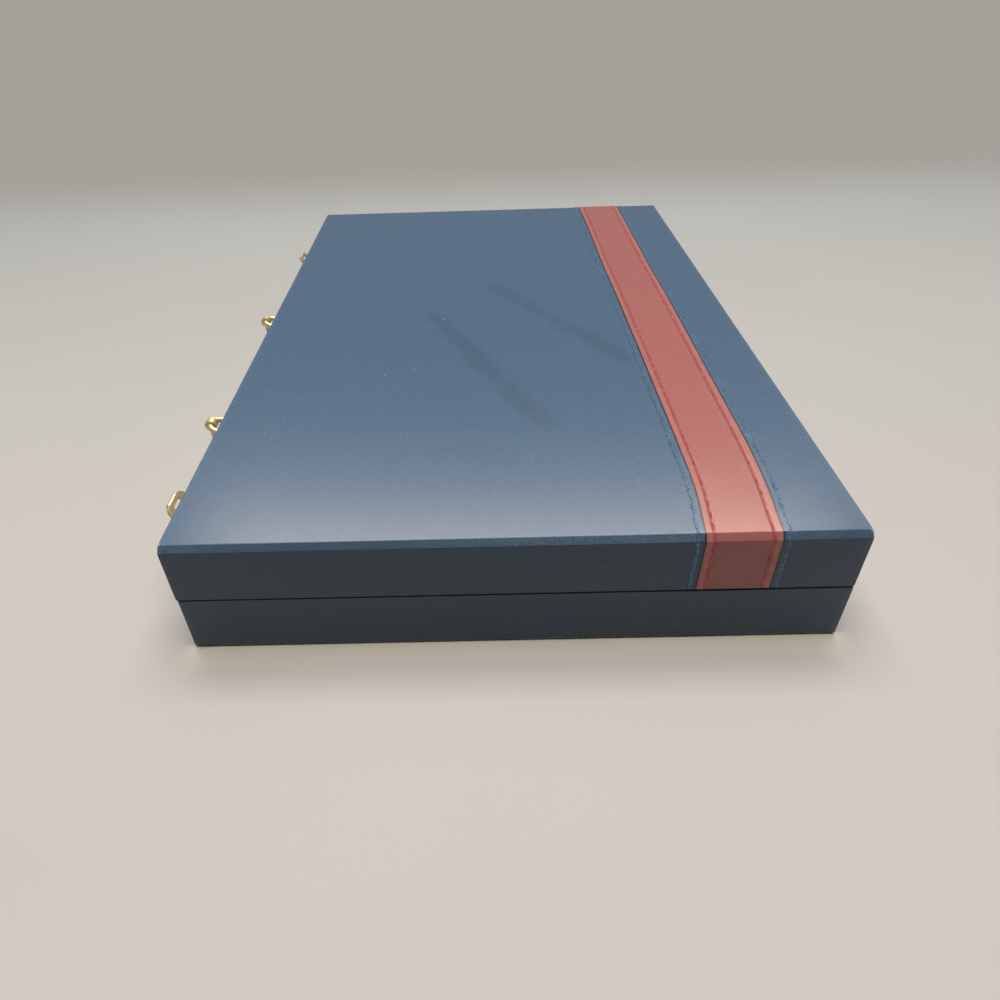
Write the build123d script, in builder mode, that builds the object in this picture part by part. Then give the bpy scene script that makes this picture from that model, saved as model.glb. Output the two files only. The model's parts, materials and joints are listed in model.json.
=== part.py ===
from build123d import *
import os
from math import cos, radians, sin

# Travel backgammon case, closed, in millimetres. The origin is the middle of the underside,
# +X runs to the hinge side, +Y away from the near face and +Z up.

# Case halves
case_width = 186.0
case_depth = 281.0
half_height = 19.4
seam_gap = 0.4
lid_overhang = 0.4
open_lid_clearance = 0.05
corner_radius = 2.0
edge_radius = 1.7
skin = 0.6
wall = 6.0
lining = 0.5
panel_thickness = 3.0
underside_margin = 12.0

# Stripe sewn over the lid
stripe_inset = 33.8
welt_width = 24.9
band_width = 20.1
welt_thickness = 0.15
band_thickness = 0.15
stripe_edge_gap = 0.3

# Playing surface and the trough beside it
trough_width = 25.0
rail_thickness = 3.0
rail_round = 1.0
rail_drop = 1.4
field_thickness = 0.8
point_count = 6
point_length = 104.0
point_spare = 0.9
point_thickness = 0.3

# Loose pieces in the trough
checker_radius = 11.0
checker_thickness = 5.0
checker_chamfer = 0.7
checker_dish_radius = 7.0
checker_dish_depth = 0.5
checker_count = 15
checker_gap = 0.1
piece_clearance = 0.05
stack_end_gap = 0.3
partition_thickness = 2.4
partition_height = 11.0
cup_mouth_radius = 12.0
cup_foot_radius = 10.8
cup_bay_gap = 0.55
cup_rim_width = 3.0
cup_wall = 1.3
cup_rim = 0.5
die_side = 8.5
die_round = 1.2
dice_spacing = 10.4
cube_side = 12.0
cube_round = 1.6

# Butt hinges
hinge_inset = 48.5
hinge_length = 30.0
hinge_outset = 0.2
barrel_radius = 1.9
pin_radius = 0.8
pin_clearance = 0.05
knuckle_clearance = 0.2
pin_head_radius = 1.5
pin_head_thickness = 0.6
leaf_width = 6.6
leaf_thickness = 0.9
leaf_gap = 0.3
hinge_screw_spacing = 18.0
hinge_screw_inset = 2.2

# Fasteners
screw_radius = 0.7
screw_head_radius = 1.4
screw_head_thickness = 0.6
screw_head_round = 0.36
screw_depth = 5.0
screw_clearance = 0.05

# Spring latches
latch_inset = 34.8
latch_plate_width = 20.0
latch_plate_height = 13.2
latch_plate_round = 2.0
latch_plate_thickness = 0.8
latch_plate_centre = 10.3
latch_screw_spacing = 16.0
latch_pin_height = 16.2
latch_pin_outset = 2.6
latch_pin_radius = 0.75
ear_radius = 1.7
ear_thickness = 1.6
ear_gap = 0.25
housing_width = 12.0
housing_height = 6.6
housing_depth = 2.4
housing_wall = 0.7
housing_round = 1.5
housing_edge_round = 0.56
housing_centre = 8.6
button_travel = 3.0
button_stem = 2.2
button_stem_height = 2.0
button_foot_height = 3.6
button_foot_length = 4.2
button_head_length = 4.4
button_head_height = 4.2
button_head_depth = 1.5
button_head_round = 1.0
button_head_taper = 12.0
button_clearance = 0.2
hasp_angle = 36.0
hasp_length = 14.0
hasp_width = 12.0
hasp_thickness = 1.0
hasp_knuckle_width = 7.0
hasp_knuckle_radius = 1.6
hasp_shoulder = 2.6
hasp_corner_round = 2.7
hasp_lip_radius = 0.9
hasp_lip_width = 6.0
window_width = 5.4
window_height = 4.2
window_place = 10.5
window_round = 0.8
keeper_width = 11.0
keeper_depth = 8.0
keeper_thickness = 0.8
keeper_round = 1.5
stud_width = 4.0
stud_height = 2.6
stud_length = 2.6
stud_round = 0.8
keeper_screw_spacing = 7.4

# Handle
ring_offset = 46.0
handle_plate_width = 18.0
handle_plate_height = 12.0
handle_plate_thickness = 0.9
handle_plate_drop = 0.3
handle_plate_round = 3.0
handle_screw_spacing = 12.0
handle_screw_drop = 3.6
ring_pivot_height = 12.5
ring_pivot_outset = 2.9
ring_tilt = 16.0
ring_reach = 16.3
ring_bar = 15.0
ring_end_bar = 6.6
ring_bend = 2.0
wire_radius = 1.2
eye_wall = 0.9
eye_clearance = 0.08
eye_width = 7.0
hook_width = 3.0
tongue_thickness = 1.3
grip_radius = 4.0
grip_end_radius = 3.5
grip_tenon_radius = 3.2
grip_tenon_length = 4.0
grip_drop = 12.6
ferrule_radius = 4.2
ferrule_length = 7.0
ferrule_round = 1.2

# Places that follow from the sizes above
base_width = case_width - 2 * lid_overhang
base_depth = case_depth - 2 * lid_overhang
stripe_centre = case_width / 2 - stripe_inset
stripe_thickness = welt_thickness + band_thickness
lid_height = half_height - open_lid_clearance - stripe_thickness
lid_top = half_height + seam_gap + lid_height
wall_total = skin + wall + lining
floor_height = skin + panel_thickness
hinge_x = case_width / 2 + hinge_outset
hinge_z = half_height + seam_gap / 2
hinge_offset = case_depth / 2 - hinge_inset
hinge_screw_x = hinge_x - leaf_width + hinge_screw_inset
latch_offset = case_depth / 2 - latch_inset
base_face = -base_width / 2
lid_face = -case_width / 2
places = {"near": -1, "far": 1}
ring_x = base_face - ring_pivot_outset
ring_slope = radians(ring_tilt)
ring_end_x = ring_x - ring_reach * cos(ring_slope)
ring_end_z = ring_pivot_height + ring_reach * sin(ring_slope)
grip_z = ring_end_z - grip_drop
grip_half = ring_offset + hook_width / 2 - ferrule_length + grip_tenon_length
trough_x = -base_width / 2 + wall_total + trough_width / 2
trough_end = base_depth / 2 - wall_total
trough_floor = floor_height + field_thickness + piece_clearance
stack_start = trough_end - stack_end_gap
stack_length = checker_count * (checker_thickness + checker_gap)
partition_start = stack_start - stack_length - stack_end_gap - partition_thickness
cup_foot = partition_start - stack_end_gap
cup_length = cup_foot - dice_spacing - die_side / 2 - cup_bay_gap
lid_plane = Plane(origin=(0, 0, lid_top), x_dir=(1, 0, 0), z_dir=(0, 0, -1))
latch_screws = [
    (side * latch_offset + step * latch_screw_spacing / 2, latch_plate_centre)
    for side in places.values()
    for step in (-1, 1)
]
handle_screws = [
    (side * ring_offset + step * handle_screw_spacing / 2, ring_pivot_height - handle_screw_drop)
    for side in places.values()
    for step in (-1, 1)
]
keeper_height = latch_pin_height + window_place
keeper_screws = [
    (side * latch_offset + step * keeper_screw_spacing / 2, keeper_height)
    for side in places.values()
    for step in (-1, 1)
]


def finish(piece, node):
    """Names a finished piece and writes it as its own file."""
    piece.part.label = node
    export_step(piece.part, f"parts/{node}.step")


def side_plane(face, y, z):
    """A plane on the handle side that looks outwards: its x is -Y and its y is +Z."""
    return Plane(origin=(face, y, z), x_dir=(0, -1, 0), z_dir=(-1, 0, 0))


def cross_plane(x, y, z):
    """A plane square to Y that looks away from the near face: its x is +X and its y is -Z."""
    return Plane(origin=(x, y, z), x_dir=(1, 0, 0), z_dir=(0, 1, 0))


def hinge_seats(depth, length):
    """The round seats that the hinge barrels need in the edge of either half."""
    for side in places.values():
        end = cross_plane(hinge_x, side * hinge_offset - length / 2, hinge_z)
        with BuildSketch(end) as barrel:
            Circle(barrel_radius + knuckle_clearance)
        extrude(barrel.sketch, amount=length, mode=Mode.SUBTRACT)
        with BuildSketch(Plane.XY.offset(hinge_z - depth)) as mortise:
            with Locations((hinge_x - leaf_width, side * hinge_offset)):
                Rectangle(leaf_width, hinge_length, align=(Align.MIN, Align.CENTER))
        extrude(mortise.sketch, amount=2 * depth, mode=Mode.SUBTRACT)


def screw_holes(face, points, radius):
    """Holes from the handle side for screws at the given places."""
    with BuildSketch(side_plane(face, 0, 0)) as holes:
        with Locations(*[(-y, z) for y, z in points]):
            Circle(radius)
    extrude(holes.sketch, amount=-(skin + screw_depth), mode=Mode.SUBTRACT)


def rim_screw_holes(radius):
    """Holes up and down from the seam for the hinge screws."""
    with BuildSketch(Plane.XY.offset(hinge_z - screw_depth - leaf_gap)) as holes:
        for side in places.values():
            with Locations((hinge_screw_x, side * hinge_offset)):
                with GridLocations(0, hinge_screw_spacing, 1, 2):
                    Circle(radius)
    extrude(holes.sketch, amount=2 * (screw_depth + leaf_gap), mode=Mode.SUBTRACT)


def make_half(name, plane, width, depth, height, face, screws):
    """The wooden tray, its cover, linings and playing surface, upwards from its outer face."""
    stands_on_table = plane.z_dir.Z > 0
    hollow_width = width - 2 * wall_total
    hollow_depth = depth - 2 * wall_total
    rail_left = -hollow_width / 2 + trough_width
    field_left = rail_left + rail_thickness
    field_width = hollow_width / 2 - field_left
    point_pitch = field_width / point_count
    rim_under = height - skin
    leaf_seat = leaf_gap / 2 + leaf_thickness
    barrel_length = hinge_length + 2 * pin_head_thickness + 2 * knuckle_clearance

    with BuildPart() as core:
        with BuildSketch(plane.offset(skin)):
            RectangleRounded(width - 2 * skin, depth - 2 * skin, corner_radius - skin)
        extrude(amount=rim_under - skin)
        outer_face = core.faces().sort_by(Axis(plane.origin, plane.z_dir))[0]
        fillet(outer_face.edges(), edge_radius - skin)

    with BuildPart() as cover:
        with BuildSketch(plane):
            RectangleRounded(width, depth, corner_radius)
        extrude(amount=height)
        outer_face = cover.faces().sort_by(Axis(plane.origin, plane.z_dir))[0]
        fillet(outer_face.edges(), edge_radius)
        add(core.part, mode=Mode.SUBTRACT)
        with BuildSketch(plane.offset(rim_under)):
            Rectangle(hollow_width, hollow_depth)
        extrude(amount=skin, mode=Mode.SUBTRACT)
        if stands_on_table:
            with BuildSketch(plane):
                Rectangle(width - 2 * underside_margin, depth - 2 * underside_margin)
            extrude(amount=skin, mode=Mode.SUBTRACT)
        hinge_seats(leaf_seat, barrel_length)
        screw_holes(face, screws, screw_radius + screw_clearance)
    finish(cover, f"{name}_cover")

    with BuildPart() as frame:
        add(core.part)
        with BuildSketch(plane.offset(skin)):
            Rectangle(hollow_width + 2 * lining, hollow_depth + 2 * lining)
        extrude(amount=rim_under - skin, mode=Mode.SUBTRACT)
        hinge_seats(leaf_seat, barrel_length)
        screw_holes(face, screws, screw_radius + screw_clearance)
        rim_screw_holes(screw_radius + screw_clearance)
    finish(frame, f"{name}_frame")

    with BuildPart() as panel:
        with BuildSketch(plane.offset(skin)):
            Rectangle(hollow_width + 2 * lining, hollow_depth + 2 * lining)
        extrude(amount=panel_thickness)
    finish(panel, f"{name}_panel")

    with BuildPart() as wall_lining:
        with BuildSketch(plane.offset(floor_height)):
            Rectangle(hollow_width + 2 * lining, hollow_depth + 2 * lining)
            Rectangle(hollow_width, hollow_depth, mode=Mode.SUBTRACT)
        extrude(amount=rim_under - floor_height)
    finish(wall_lining, f"{name}_wall_lining")

    with BuildPart() as rail:
        with BuildSketch(plane.offset(floor_height)):
            with Locations((rail_left, 0)):
                Rectangle(rail_thickness, hollow_depth, align=(Align.MIN, Align.CENTER))
        extrude(amount=rim_under - rail_drop - floor_height)
        fillet(rail.faces().sort_by(Axis(plane.origin, plane.z_dir))[-1].edges().filter_by(Axis.Y), rail_round)
    finish(rail, f"{name}_trough_rail")

    with BuildPart() as trough_pad:
        with BuildSketch(plane.offset(floor_height)):
            with Locations((rail_left, 0)):
                Rectangle(trough_width, hollow_depth, align=(Align.MAX, Align.CENTER))
        extrude(amount=field_thickness)
    finish(trough_pad, f"{name}_trough_pad")

    with BuildPart() as field:
        with BuildSketch(plane.offset(floor_height)):
            with Locations((field_left, 0)):
                Rectangle(field_width, hollow_depth, align=(Align.MIN, Align.CENTER))
        extrude(amount=field_thickness)
    finish(field, f"{name}_field")

    for colour, first in (("dark", 0), ("light", 1)):
        with BuildPart() as points:
            with BuildSketch(plane.offset(floor_height + field_thickness)):
                for end in (-1, 1):
                    start = first if end < 0 else 1 - first
                    for column in range(start, point_count, 2):
                        middle = field_left + (column + 0.5) * point_pitch
                        half_base = (point_pitch - point_spare) / 2
                        foot = end * (hollow_depth / 2 - point_spare)
                        tip = foot - end * point_length
                        Polygon(
                            (middle - half_base, foot),
                            (middle + half_base, foot),
                            (middle, tip),
                            align=None,
                        )
            extrude(amount=point_thickness)
        finish(points, f"{name}_{colour}_points")


def make_underside():
    """The sheet glued over the underside, inside the margin where the cover is turned under."""
    with BuildPart() as sheet:
        with BuildSketch():
            Rectangle(base_width - 2 * underside_margin, base_depth - 2 * underside_margin)
        extrude(amount=skin)
    finish(sheet, "base_underside")


def make_strip(node, strip_width, under, thickness):
    """One layer of the stripe, bent over the lid and down both of its ends."""
    lid_rim = half_height + seam_gap
    with BuildPart() as strip:
        for layer, mode in ((under + thickness, Mode.ADD), (under, Mode.SUBTRACT)):
            with BuildSketch(Plane.YZ.offset(stripe_centre - strip_width / 2)) as outline:
                with Locations((0, lid_rim + stripe_edge_gap)):
                    Rectangle(
                        case_depth + 2 * layer,
                        lid_height + layer - stripe_edge_gap,
                        align=(Align.CENTER, Align.MIN),
                    )
                fillet(outline.vertices().group_by(Axis.Y)[-1], edge_radius + layer)
            extrude(amount=strip_width, mode=mode)
    finish(strip, node)


def make_hinge_half(name, side_up, own_knuckles):
    """The leaves of both hinges on one half of the case, with their knuckles."""
    knuckle_length = (hinge_length - 2 * knuckle_clearance) / 3
    knuckle_pitch = knuckle_length + knuckle_clearance
    leaf_low = hinge_z + (leaf_gap / 2 if side_up else -leaf_gap / 2 - leaf_thickness)
    with BuildPart() as leaves:
        for side in places.values():
            middle = side * hinge_offset
            with BuildSketch(Plane.XY.offset(leaf_low)):
                with Locations((hinge_x - leaf_width, middle)):
                    Rectangle(
                        leaf_width - barrel_radius - knuckle_clearance,
                        hinge_length,
                        align=(Align.MIN, Align.CENTER),
                    )
                for knuckle in own_knuckles:
                    with Locations((hinge_x, middle + knuckle * knuckle_pitch)):
                        Rectangle(leaf_width / 2, knuckle_length, align=(Align.MAX, Align.CENTER))
            extrude(amount=leaf_thickness)
            for knuckle in own_knuckles:
                start = middle + knuckle * knuckle_pitch - knuckle_length / 2
                with BuildSketch(cross_plane(hinge_x, start, hinge_z)):
                    Circle(barrel_radius)
                extrude(amount=knuckle_length)
            with BuildSketch(cross_plane(hinge_x, middle - hinge_length / 2, hinge_z)):
                Circle(pin_radius + pin_clearance)
            extrude(amount=hinge_length, mode=Mode.SUBTRACT)
            with Locations((hinge_screw_x, middle, leaf_low)):
                with GridLocations(0, hinge_screw_spacing, 1, 2):
                    Cylinder(
                        screw_radius + screw_clearance,
                        leaf_thickness,
                        align=(Align.CENTER, Align.CENTER, Align.MIN),
                        mode=Mode.SUBTRACT,
                    )
    finish(leaves, f"{name}_hinge_leaves")

    direction = 1 if side_up else -1
    with BuildPart() as screws:
        for side in places.values():
            for step in (-1, 1):
                place = side * hinge_offset + step * hinge_screw_spacing / 2
                seat = Plane(
                    origin=(hinge_screw_x, place, hinge_z + direction * leaf_gap / 2),
                    z_dir=(0, 0, direction),
                )
                with BuildSketch(seat):
                    Circle(screw_radius)
                extrude(amount=screw_depth)
    finish(screws, f"{name}_hinge_screws")


def make_wall_screws(node, face, plate_thickness, points):
    """Round-headed screws that hold a plate to the handle side."""
    with BuildPart() as screws:
        for y, z in points:
            with BuildSketch(side_plane(face - plate_thickness, y, z)):
                Circle(screw_head_radius)
            head = extrude(amount=screw_head_thickness)
            fillet(head.faces().sort_by(Axis.X)[0].edges(), screw_head_round)
            with BuildSketch(side_plane(face - plate_thickness, y, z)):
                Circle(screw_radius)
            extrude(amount=-(plate_thickness + screw_depth - skin))
    finish(screws, node)


def make_latch(place, side):
    """The plate, hasp and slide button of one latch. The hasp stands sprung open."""
    middle = side * latch_offset
    pin_axis = cross_plane(base_face - latch_pin_outset, middle, latch_pin_height)
    ear_place = hasp_knuckle_width / 2 + ear_gap
    front = base_face - latch_plate_thickness
    slot_length = button_stem + button_travel + 2 * button_clearance
    slot_height = button_stem_height + 2 * button_clearance

    with BuildPart() as plate:
        with BuildSketch(side_plane(base_face, middle, latch_plate_centre)):
            RectangleRounded(latch_plate_width, latch_plate_height, latch_plate_round)
        extrude(amount=latch_plate_thickness)
        with BuildSketch(side_plane(front, middle, housing_centre)):
            RectangleRounded(housing_width, housing_height, housing_round)
        extrude(amount=housing_depth)
        fillet(plate.faces().sort_by(Axis.X)[0].edges(), housing_edge_round)
        with BuildSketch(side_plane(front, middle, housing_centre)):
            Rectangle(housing_width - 2 * housing_wall, housing_height - 2 * housing_wall)
        extrude(amount=housing_depth - housing_wall, mode=Mode.SUBTRACT)
        with BuildSketch(side_plane(front, middle, housing_centre)):
            Rectangle(slot_length, slot_height)
        extrude(amount=housing_depth, mode=Mode.SUBTRACT)
        for step in (-1, 1):
            start = middle + step * (ear_place + ear_thickness / 2) - ear_thickness / 2
            with BuildSketch(cross_plane(base_face, start, latch_pin_height)):
                with Locations((-latch_pin_outset, 0)):
                    Circle(ear_radius)
                Rectangle(latch_pin_outset, 2 * ear_radius, align=(Align.MAX, Align.CENTER))
            extrude(amount=ear_thickness)
        with BuildSketch(pin_axis.offset(-latch_plate_width / 2)):
            Circle(latch_pin_radius + pin_clearance)
        extrude(amount=latch_plate_width, mode=Mode.SUBTRACT)
        screw_holes(front, latch_screws, screw_radius + screw_clearance)
    finish(plate, f"latch_plate_{place}")

    swing = radians(hasp_angle)
    hasp_plane = Plane(
        origin=pin_axis.origin,
        x_dir=(-cos(swing), 0, -sin(swing)),
        z_dir=(-sin(swing), 0, cos(swing)),
    )
    flat = Plane(
        origin=pin_axis.origin - hasp_plane.x_dir * (hasp_thickness / 2),
        x_dir=(0, -1, 0),
        z_dir=hasp_plane.x_dir,
    )
    with BuildPart() as hasp:
        with BuildSketch(flat) as outline:
            with Locations((0, hasp_shoulder)):
                Rectangle(hasp_width, hasp_length - hasp_shoulder, align=(Align.CENTER, Align.MIN))
            fillet(outline.vertices(), hasp_corner_round)
            Rectangle(hasp_knuckle_width, hasp_length / 2, align=(Align.CENTER, Align.MIN))
            with Locations((0, window_place)):
                RectangleRounded(window_width, window_height, window_round, mode=Mode.SUBTRACT)
        extrude(amount=hasp_thickness)
        with BuildSketch(pin_axis.offset(-hasp_knuckle_width / 2)):
            Circle(hasp_knuckle_radius)
        extrude(amount=hasp_knuckle_width)
        lip_place = hasp_length - hasp_lip_radius / 2
        lip = cross_plane(
            *(pin_axis.origin + hasp_plane.z_dir * lip_place + hasp_plane.x_dir * hasp_lip_radius / 2)
        )
        with BuildSketch(lip.offset(-hasp_lip_width / 2)):
            Circle(hasp_lip_radius)
        extrude(amount=hasp_lip_width)
        with BuildSketch(pin_axis.offset(-hasp_knuckle_width / 2)):
            Circle(latch_pin_radius + pin_clearance)
        extrude(amount=hasp_knuckle_width, mode=Mode.SUBTRACT)
    finish(hasp, f"latch_hasp_{place}")

    with BuildPart() as button:
        rest = middle - side * button_travel / 2
        with BuildSketch(side_plane(front - button_clearance, rest, housing_centre)):
            Rectangle(button_foot_length, button_foot_height)
        extrude(amount=housing_depth - housing_wall - 2 * button_clearance)
        with BuildSketch(side_plane(front - button_clearance, rest, housing_centre)):
            Rectangle(button_stem, button_stem_height)
        extrude(amount=housing_depth)
        with BuildSketch(side_plane(front - housing_depth - button_clearance, rest, housing_centre)):
            RectangleRounded(button_head_length, button_head_height, button_head_round)
        extrude(amount=button_head_depth, taper=button_head_taper)
    finish(button, f"latch_button_{place}")


def make_latch_pins():
    """The pins that the hasps turn on."""
    pin_length = hasp_knuckle_width + 2 * (ear_gap + ear_thickness)
    with BuildPart() as pins:
        for side in places.values():
            middle = side * latch_offset
            axis = cross_plane(base_face - latch_pin_outset, middle, latch_pin_height)
            with BuildSketch(axis.offset(-pin_length / 2)):
                Circle(latch_pin_radius)
            extrude(amount=pin_length)
    finish(pins, "latch_pins")


def make_keepers():
    """The studded plates on the lid that the hasps close over."""
    with BuildPart() as keepers:
        for side in places.values():
            with BuildSketch(side_plane(lid_face, side * latch_offset, keeper_height)):
                RectangleRounded(keeper_width, keeper_depth, keeper_round)
            extrude(amount=keeper_thickness)
            with BuildSketch(side_plane(lid_face, side * latch_offset, keeper_height)):
                RectangleRounded(stud_width, stud_height, stud_round)
            extrude(amount=keeper_thickness + stud_length)
        screw_holes(lid_face - keeper_thickness, keeper_screws, screw_radius + screw_clearance)
    finish(keepers, "latch_keepers")


def make_hinge_pins():
    """The headed pins through the hinge knuckles."""
    with BuildPart() as pins:
        for side in places.values():
            start = side * hinge_offset - hinge_length / 2
            axis = cross_plane(hinge_x, start, hinge_z)
            with BuildSketch(axis):
                Circle(pin_radius)
            extrude(amount=hinge_length)
            with BuildSketch(axis, axis.offset(hinge_length + pin_head_thickness)):
                Circle(pin_head_radius)
            extrude(amount=-pin_head_thickness)
    finish(pins, "hinge_pins")


def make_handle_end(place, side):
    """The plate, ring and hooked ferrule at one end of the handle."""
    middle = side * ring_offset
    plate_centre = half_height - handle_plate_drop - handle_plate_height / 2
    with BuildPart() as plate:
        with BuildSketch(side_plane(base_face, middle, plate_centre)):
            RectangleRounded(handle_plate_width, handle_plate_height, handle_plate_round)
        extrude(amount=handle_plate_thickness)
        with BuildSketch(cross_plane(base_face, middle - eye_width / 2, ring_pivot_height)):
            with Locations((-ring_pivot_outset, 0)):
                Circle(wire_radius + eye_clearance + eye_wall)
            Rectangle(
                ring_pivot_outset,
                2 * (wire_radius + eye_wall),
                align=(Align.MAX, Align.CENTER),
            )
        extrude(amount=eye_width)
        with BuildSketch(cross_plane(ring_x, middle - eye_width / 2, ring_pivot_height)):
            Circle(wire_radius + eye_clearance)
        extrude(amount=eye_width, mode=Mode.SUBTRACT)
        screw_holes(base_face - handle_plate_thickness, handle_screws, screw_radius + screw_clearance)
    finish(plate, f"handle_plate_{place}")

    ring_plane = Plane(
        origin=(ring_x, middle, ring_pivot_height),
        x_dir=(0, 1, 0),
        z_dir=(sin(ring_slope), 0, cos(ring_slope)),
    )
    with BuildPart() as ring:
        with BuildLine(ring_plane) as path:
            FilletPolyline(
                (-ring_bar / 2, 0),
                (ring_bar / 2, 0),
                (ring_end_bar / 2, ring_reach),
                (-ring_end_bar / 2, ring_reach),
                radius=ring_bend,
                close=True,
            )
        with BuildSketch(Plane(origin=path.line @ 0, z_dir=path.line % 0)):
            Circle(wire_radius)
        sweep()
    finish(ring, f"handle_ring_{place}")

    ferrule_end = side * (ring_offset + hook_width / 2)
    mouth = Plane((ring_end_x, ferrule_end, grip_z), z_dir=(0, -side, 0))
    with BuildPart() as ferrule:
        with BuildSketch(mouth):
            Circle(ferrule_radius)
        extrude(amount=ferrule_length)
        fillet(ferrule.faces().sort_by(Axis.Y)[-1 if side > 0 else 0].edges(), ferrule_round)
        with BuildSketch(mouth.offset(ferrule_length)):
            Circle(grip_tenon_radius + screw_clearance)
        extrude(amount=-grip_tenon_length - screw_clearance, mode=Mode.SUBTRACT)
        with BuildSketch(cross_plane(ring_end_x, middle - hook_width / 2, ring_end_z)):
            Circle(wire_radius + eye_clearance + eye_wall)
            Rectangle(tongue_thickness, grip_drop, align=(Align.CENTER, Align.MIN))
        extrude(amount=hook_width)
        with BuildSketch(cross_plane(ring_end_x, middle - hook_width / 2, ring_end_z)):
            Circle(wire_radius + eye_clearance)
        extrude(amount=hook_width, mode=Mode.SUBTRACT)
    finish(ferrule, f"handle_ferrule_{place}")


def make_grip():
    """The crowned grip between the ferrules, with a thinner tenon at each end."""
    shoulder = grip_half - grip_tenon_length
    with BuildPart() as grip:
        with BuildSketch(Plane((ring_end_x, 0, grip_z), x_dir=(0, 1, 0), z_dir=(1, 0, 0))):
            with BuildLine():
                Polyline(
                    (-shoulder, grip_end_radius),
                    (-shoulder, grip_tenon_radius),
                    (-grip_half, grip_tenon_radius),
                    (-grip_half, 0),
                    (grip_half, 0),
                    (grip_half, grip_tenon_radius),
                    (shoulder, grip_tenon_radius),
                    (shoulder, grip_end_radius),
                )
                ThreePointArc((shoulder, grip_end_radius), (0, grip_radius), (-shoulder, grip_end_radius))
            make_face()
        revolve(axis=Axis((ring_end_x, 0, grip_z), (0, 1, 0)))
    finish(grip, "handle_grip")


def make_checkers(node, side):
    """One colour of checkers, on edge in its end of the trough."""
    with BuildPart() as checkers:
        for index in range(checker_count):
            y = side * (stack_start - index * (checker_thickness + checker_gap))
            face = Plane((trough_x, y, trough_floor + checker_radius), z_dir=(0, -side, 0))
            with BuildSketch(face):
                Circle(checker_radius)
            disc = extrude(amount=checker_thickness)
            chamfer(disc.edges().filter_by(GeomType.CIRCLE), checker_chamfer)
            with BuildSketch(face.offset(checker_dish_depth), face.offset(checker_thickness)):
                Circle(checker_dish_radius)
            extrude(amount=-checker_dish_depth, mode=Mode.SUBTRACT)
    finish(checkers, node)


def make_partitions():
    """The two blocks that keep the stacks of checkers at the ends of the trough."""
    with BuildPart() as partitions:
        for side in places.values():
            with BuildSketch(Plane.XY.offset(floor_height + field_thickness)):
                with Locations((trough_x, side * (partition_start + partition_thickness / 2))):
                    Rectangle(trough_width, partition_thickness)
            extrude(amount=partition_height)
    finish(partitions, "trough_partitions")


def make_cup(place, side):
    """A tapered dice cup on its side, its foot to the partition and its mouth to the middle."""
    foot = side * cup_foot
    axis_z = trough_floor + cup_mouth_radius + cup_rim
    profile = Plane((trough_x, foot, axis_z), x_dir=(0, -side, 0), z_dir=(1, 0, 0))
    with BuildPart() as cup:
        with BuildSketch(profile):
            with BuildLine():
                Polyline(
                    (0, 0),
                    (0, cup_foot_radius),
                    (cup_length - cup_rim_width, cup_mouth_radius),
                    (cup_length - cup_rim_width, cup_mouth_radius + cup_rim),
                    (cup_length, cup_mouth_radius + cup_rim),
                    (cup_length, cup_mouth_radius - cup_wall),
                    (cup_wall, cup_foot_radius - cup_wall),
                    (cup_wall, 0),
                    close=True,
                )
            make_face()
        revolve(axis=Axis((trough_x, foot, axis_z), (0, 1, 0)))
    finish(cup, f"dice_cup_{place}")


def make_dice(node, side):
    """A pair of dice, side by side in the bay between the cups."""
    with BuildPart() as dice:
        for step in (-1, 1):
            place = (trough_x + step * dice_spacing / 2, side * dice_spacing)
            with BuildSketch(Plane((*place, trough_floor))):
                Rectangle(die_side, die_side)
            die = extrude(amount=die_side)
            fillet(die.edges(), die_round)
    finish(dice, node)


def make_doubling_cube():
    """The doubling cube, between the two pairs of dice."""
    with BuildPart() as cube:
        with BuildSketch(Plane((trough_x, 0, trough_floor))):
            Rectangle(cube_side, cube_side)
        extrude(amount=cube_side)
        fillet(cube.edges(), cube_round)
    finish(cube, "doubling_cube")


make_half("base", Plane.XY, base_width, base_depth, half_height, base_face, latch_screws + handle_screws)
make_half("lid", lid_plane, case_width, case_depth, lid_height, lid_face, keeper_screws)
make_underside()
make_strip("stripe_welt", welt_width, 0, welt_thickness)
make_strip("stripe_band", band_width, welt_thickness, band_thickness)
make_hinge_half("base", False, (-1, 1))
make_hinge_half("lid", True, (0,))
make_hinge_pins()
for place, side in places.items():
    make_latch(place, side)
    make_handle_end(place, side)
    make_cup(place, side)
make_latch_pins()
make_keepers()
make_grip()
make_wall_screws("latch_screws", base_face, latch_plate_thickness, latch_screws)
make_wall_screws("handle_screws", base_face, handle_plate_thickness, handle_screws)
make_wall_screws("keeper_screws", lid_face, keeper_thickness, keeper_screws)
make_checkers("dark_checkers", -1)
make_checkers("light_checkers", 1)
make_partitions()
make_dice("light_dice", -1)
make_dice("dark_dice", 1)
make_doubling_cube()
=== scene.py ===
import json
import random
from contextlib import contextmanager
from math import atan2, pi, radians, sin, tan, tau

import bmesh
import bpy
from bpy.props import FloatProperty, FloatVectorProperty, IntProperty, PointerProperty
from mathutils import Matrix, Vector


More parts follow.
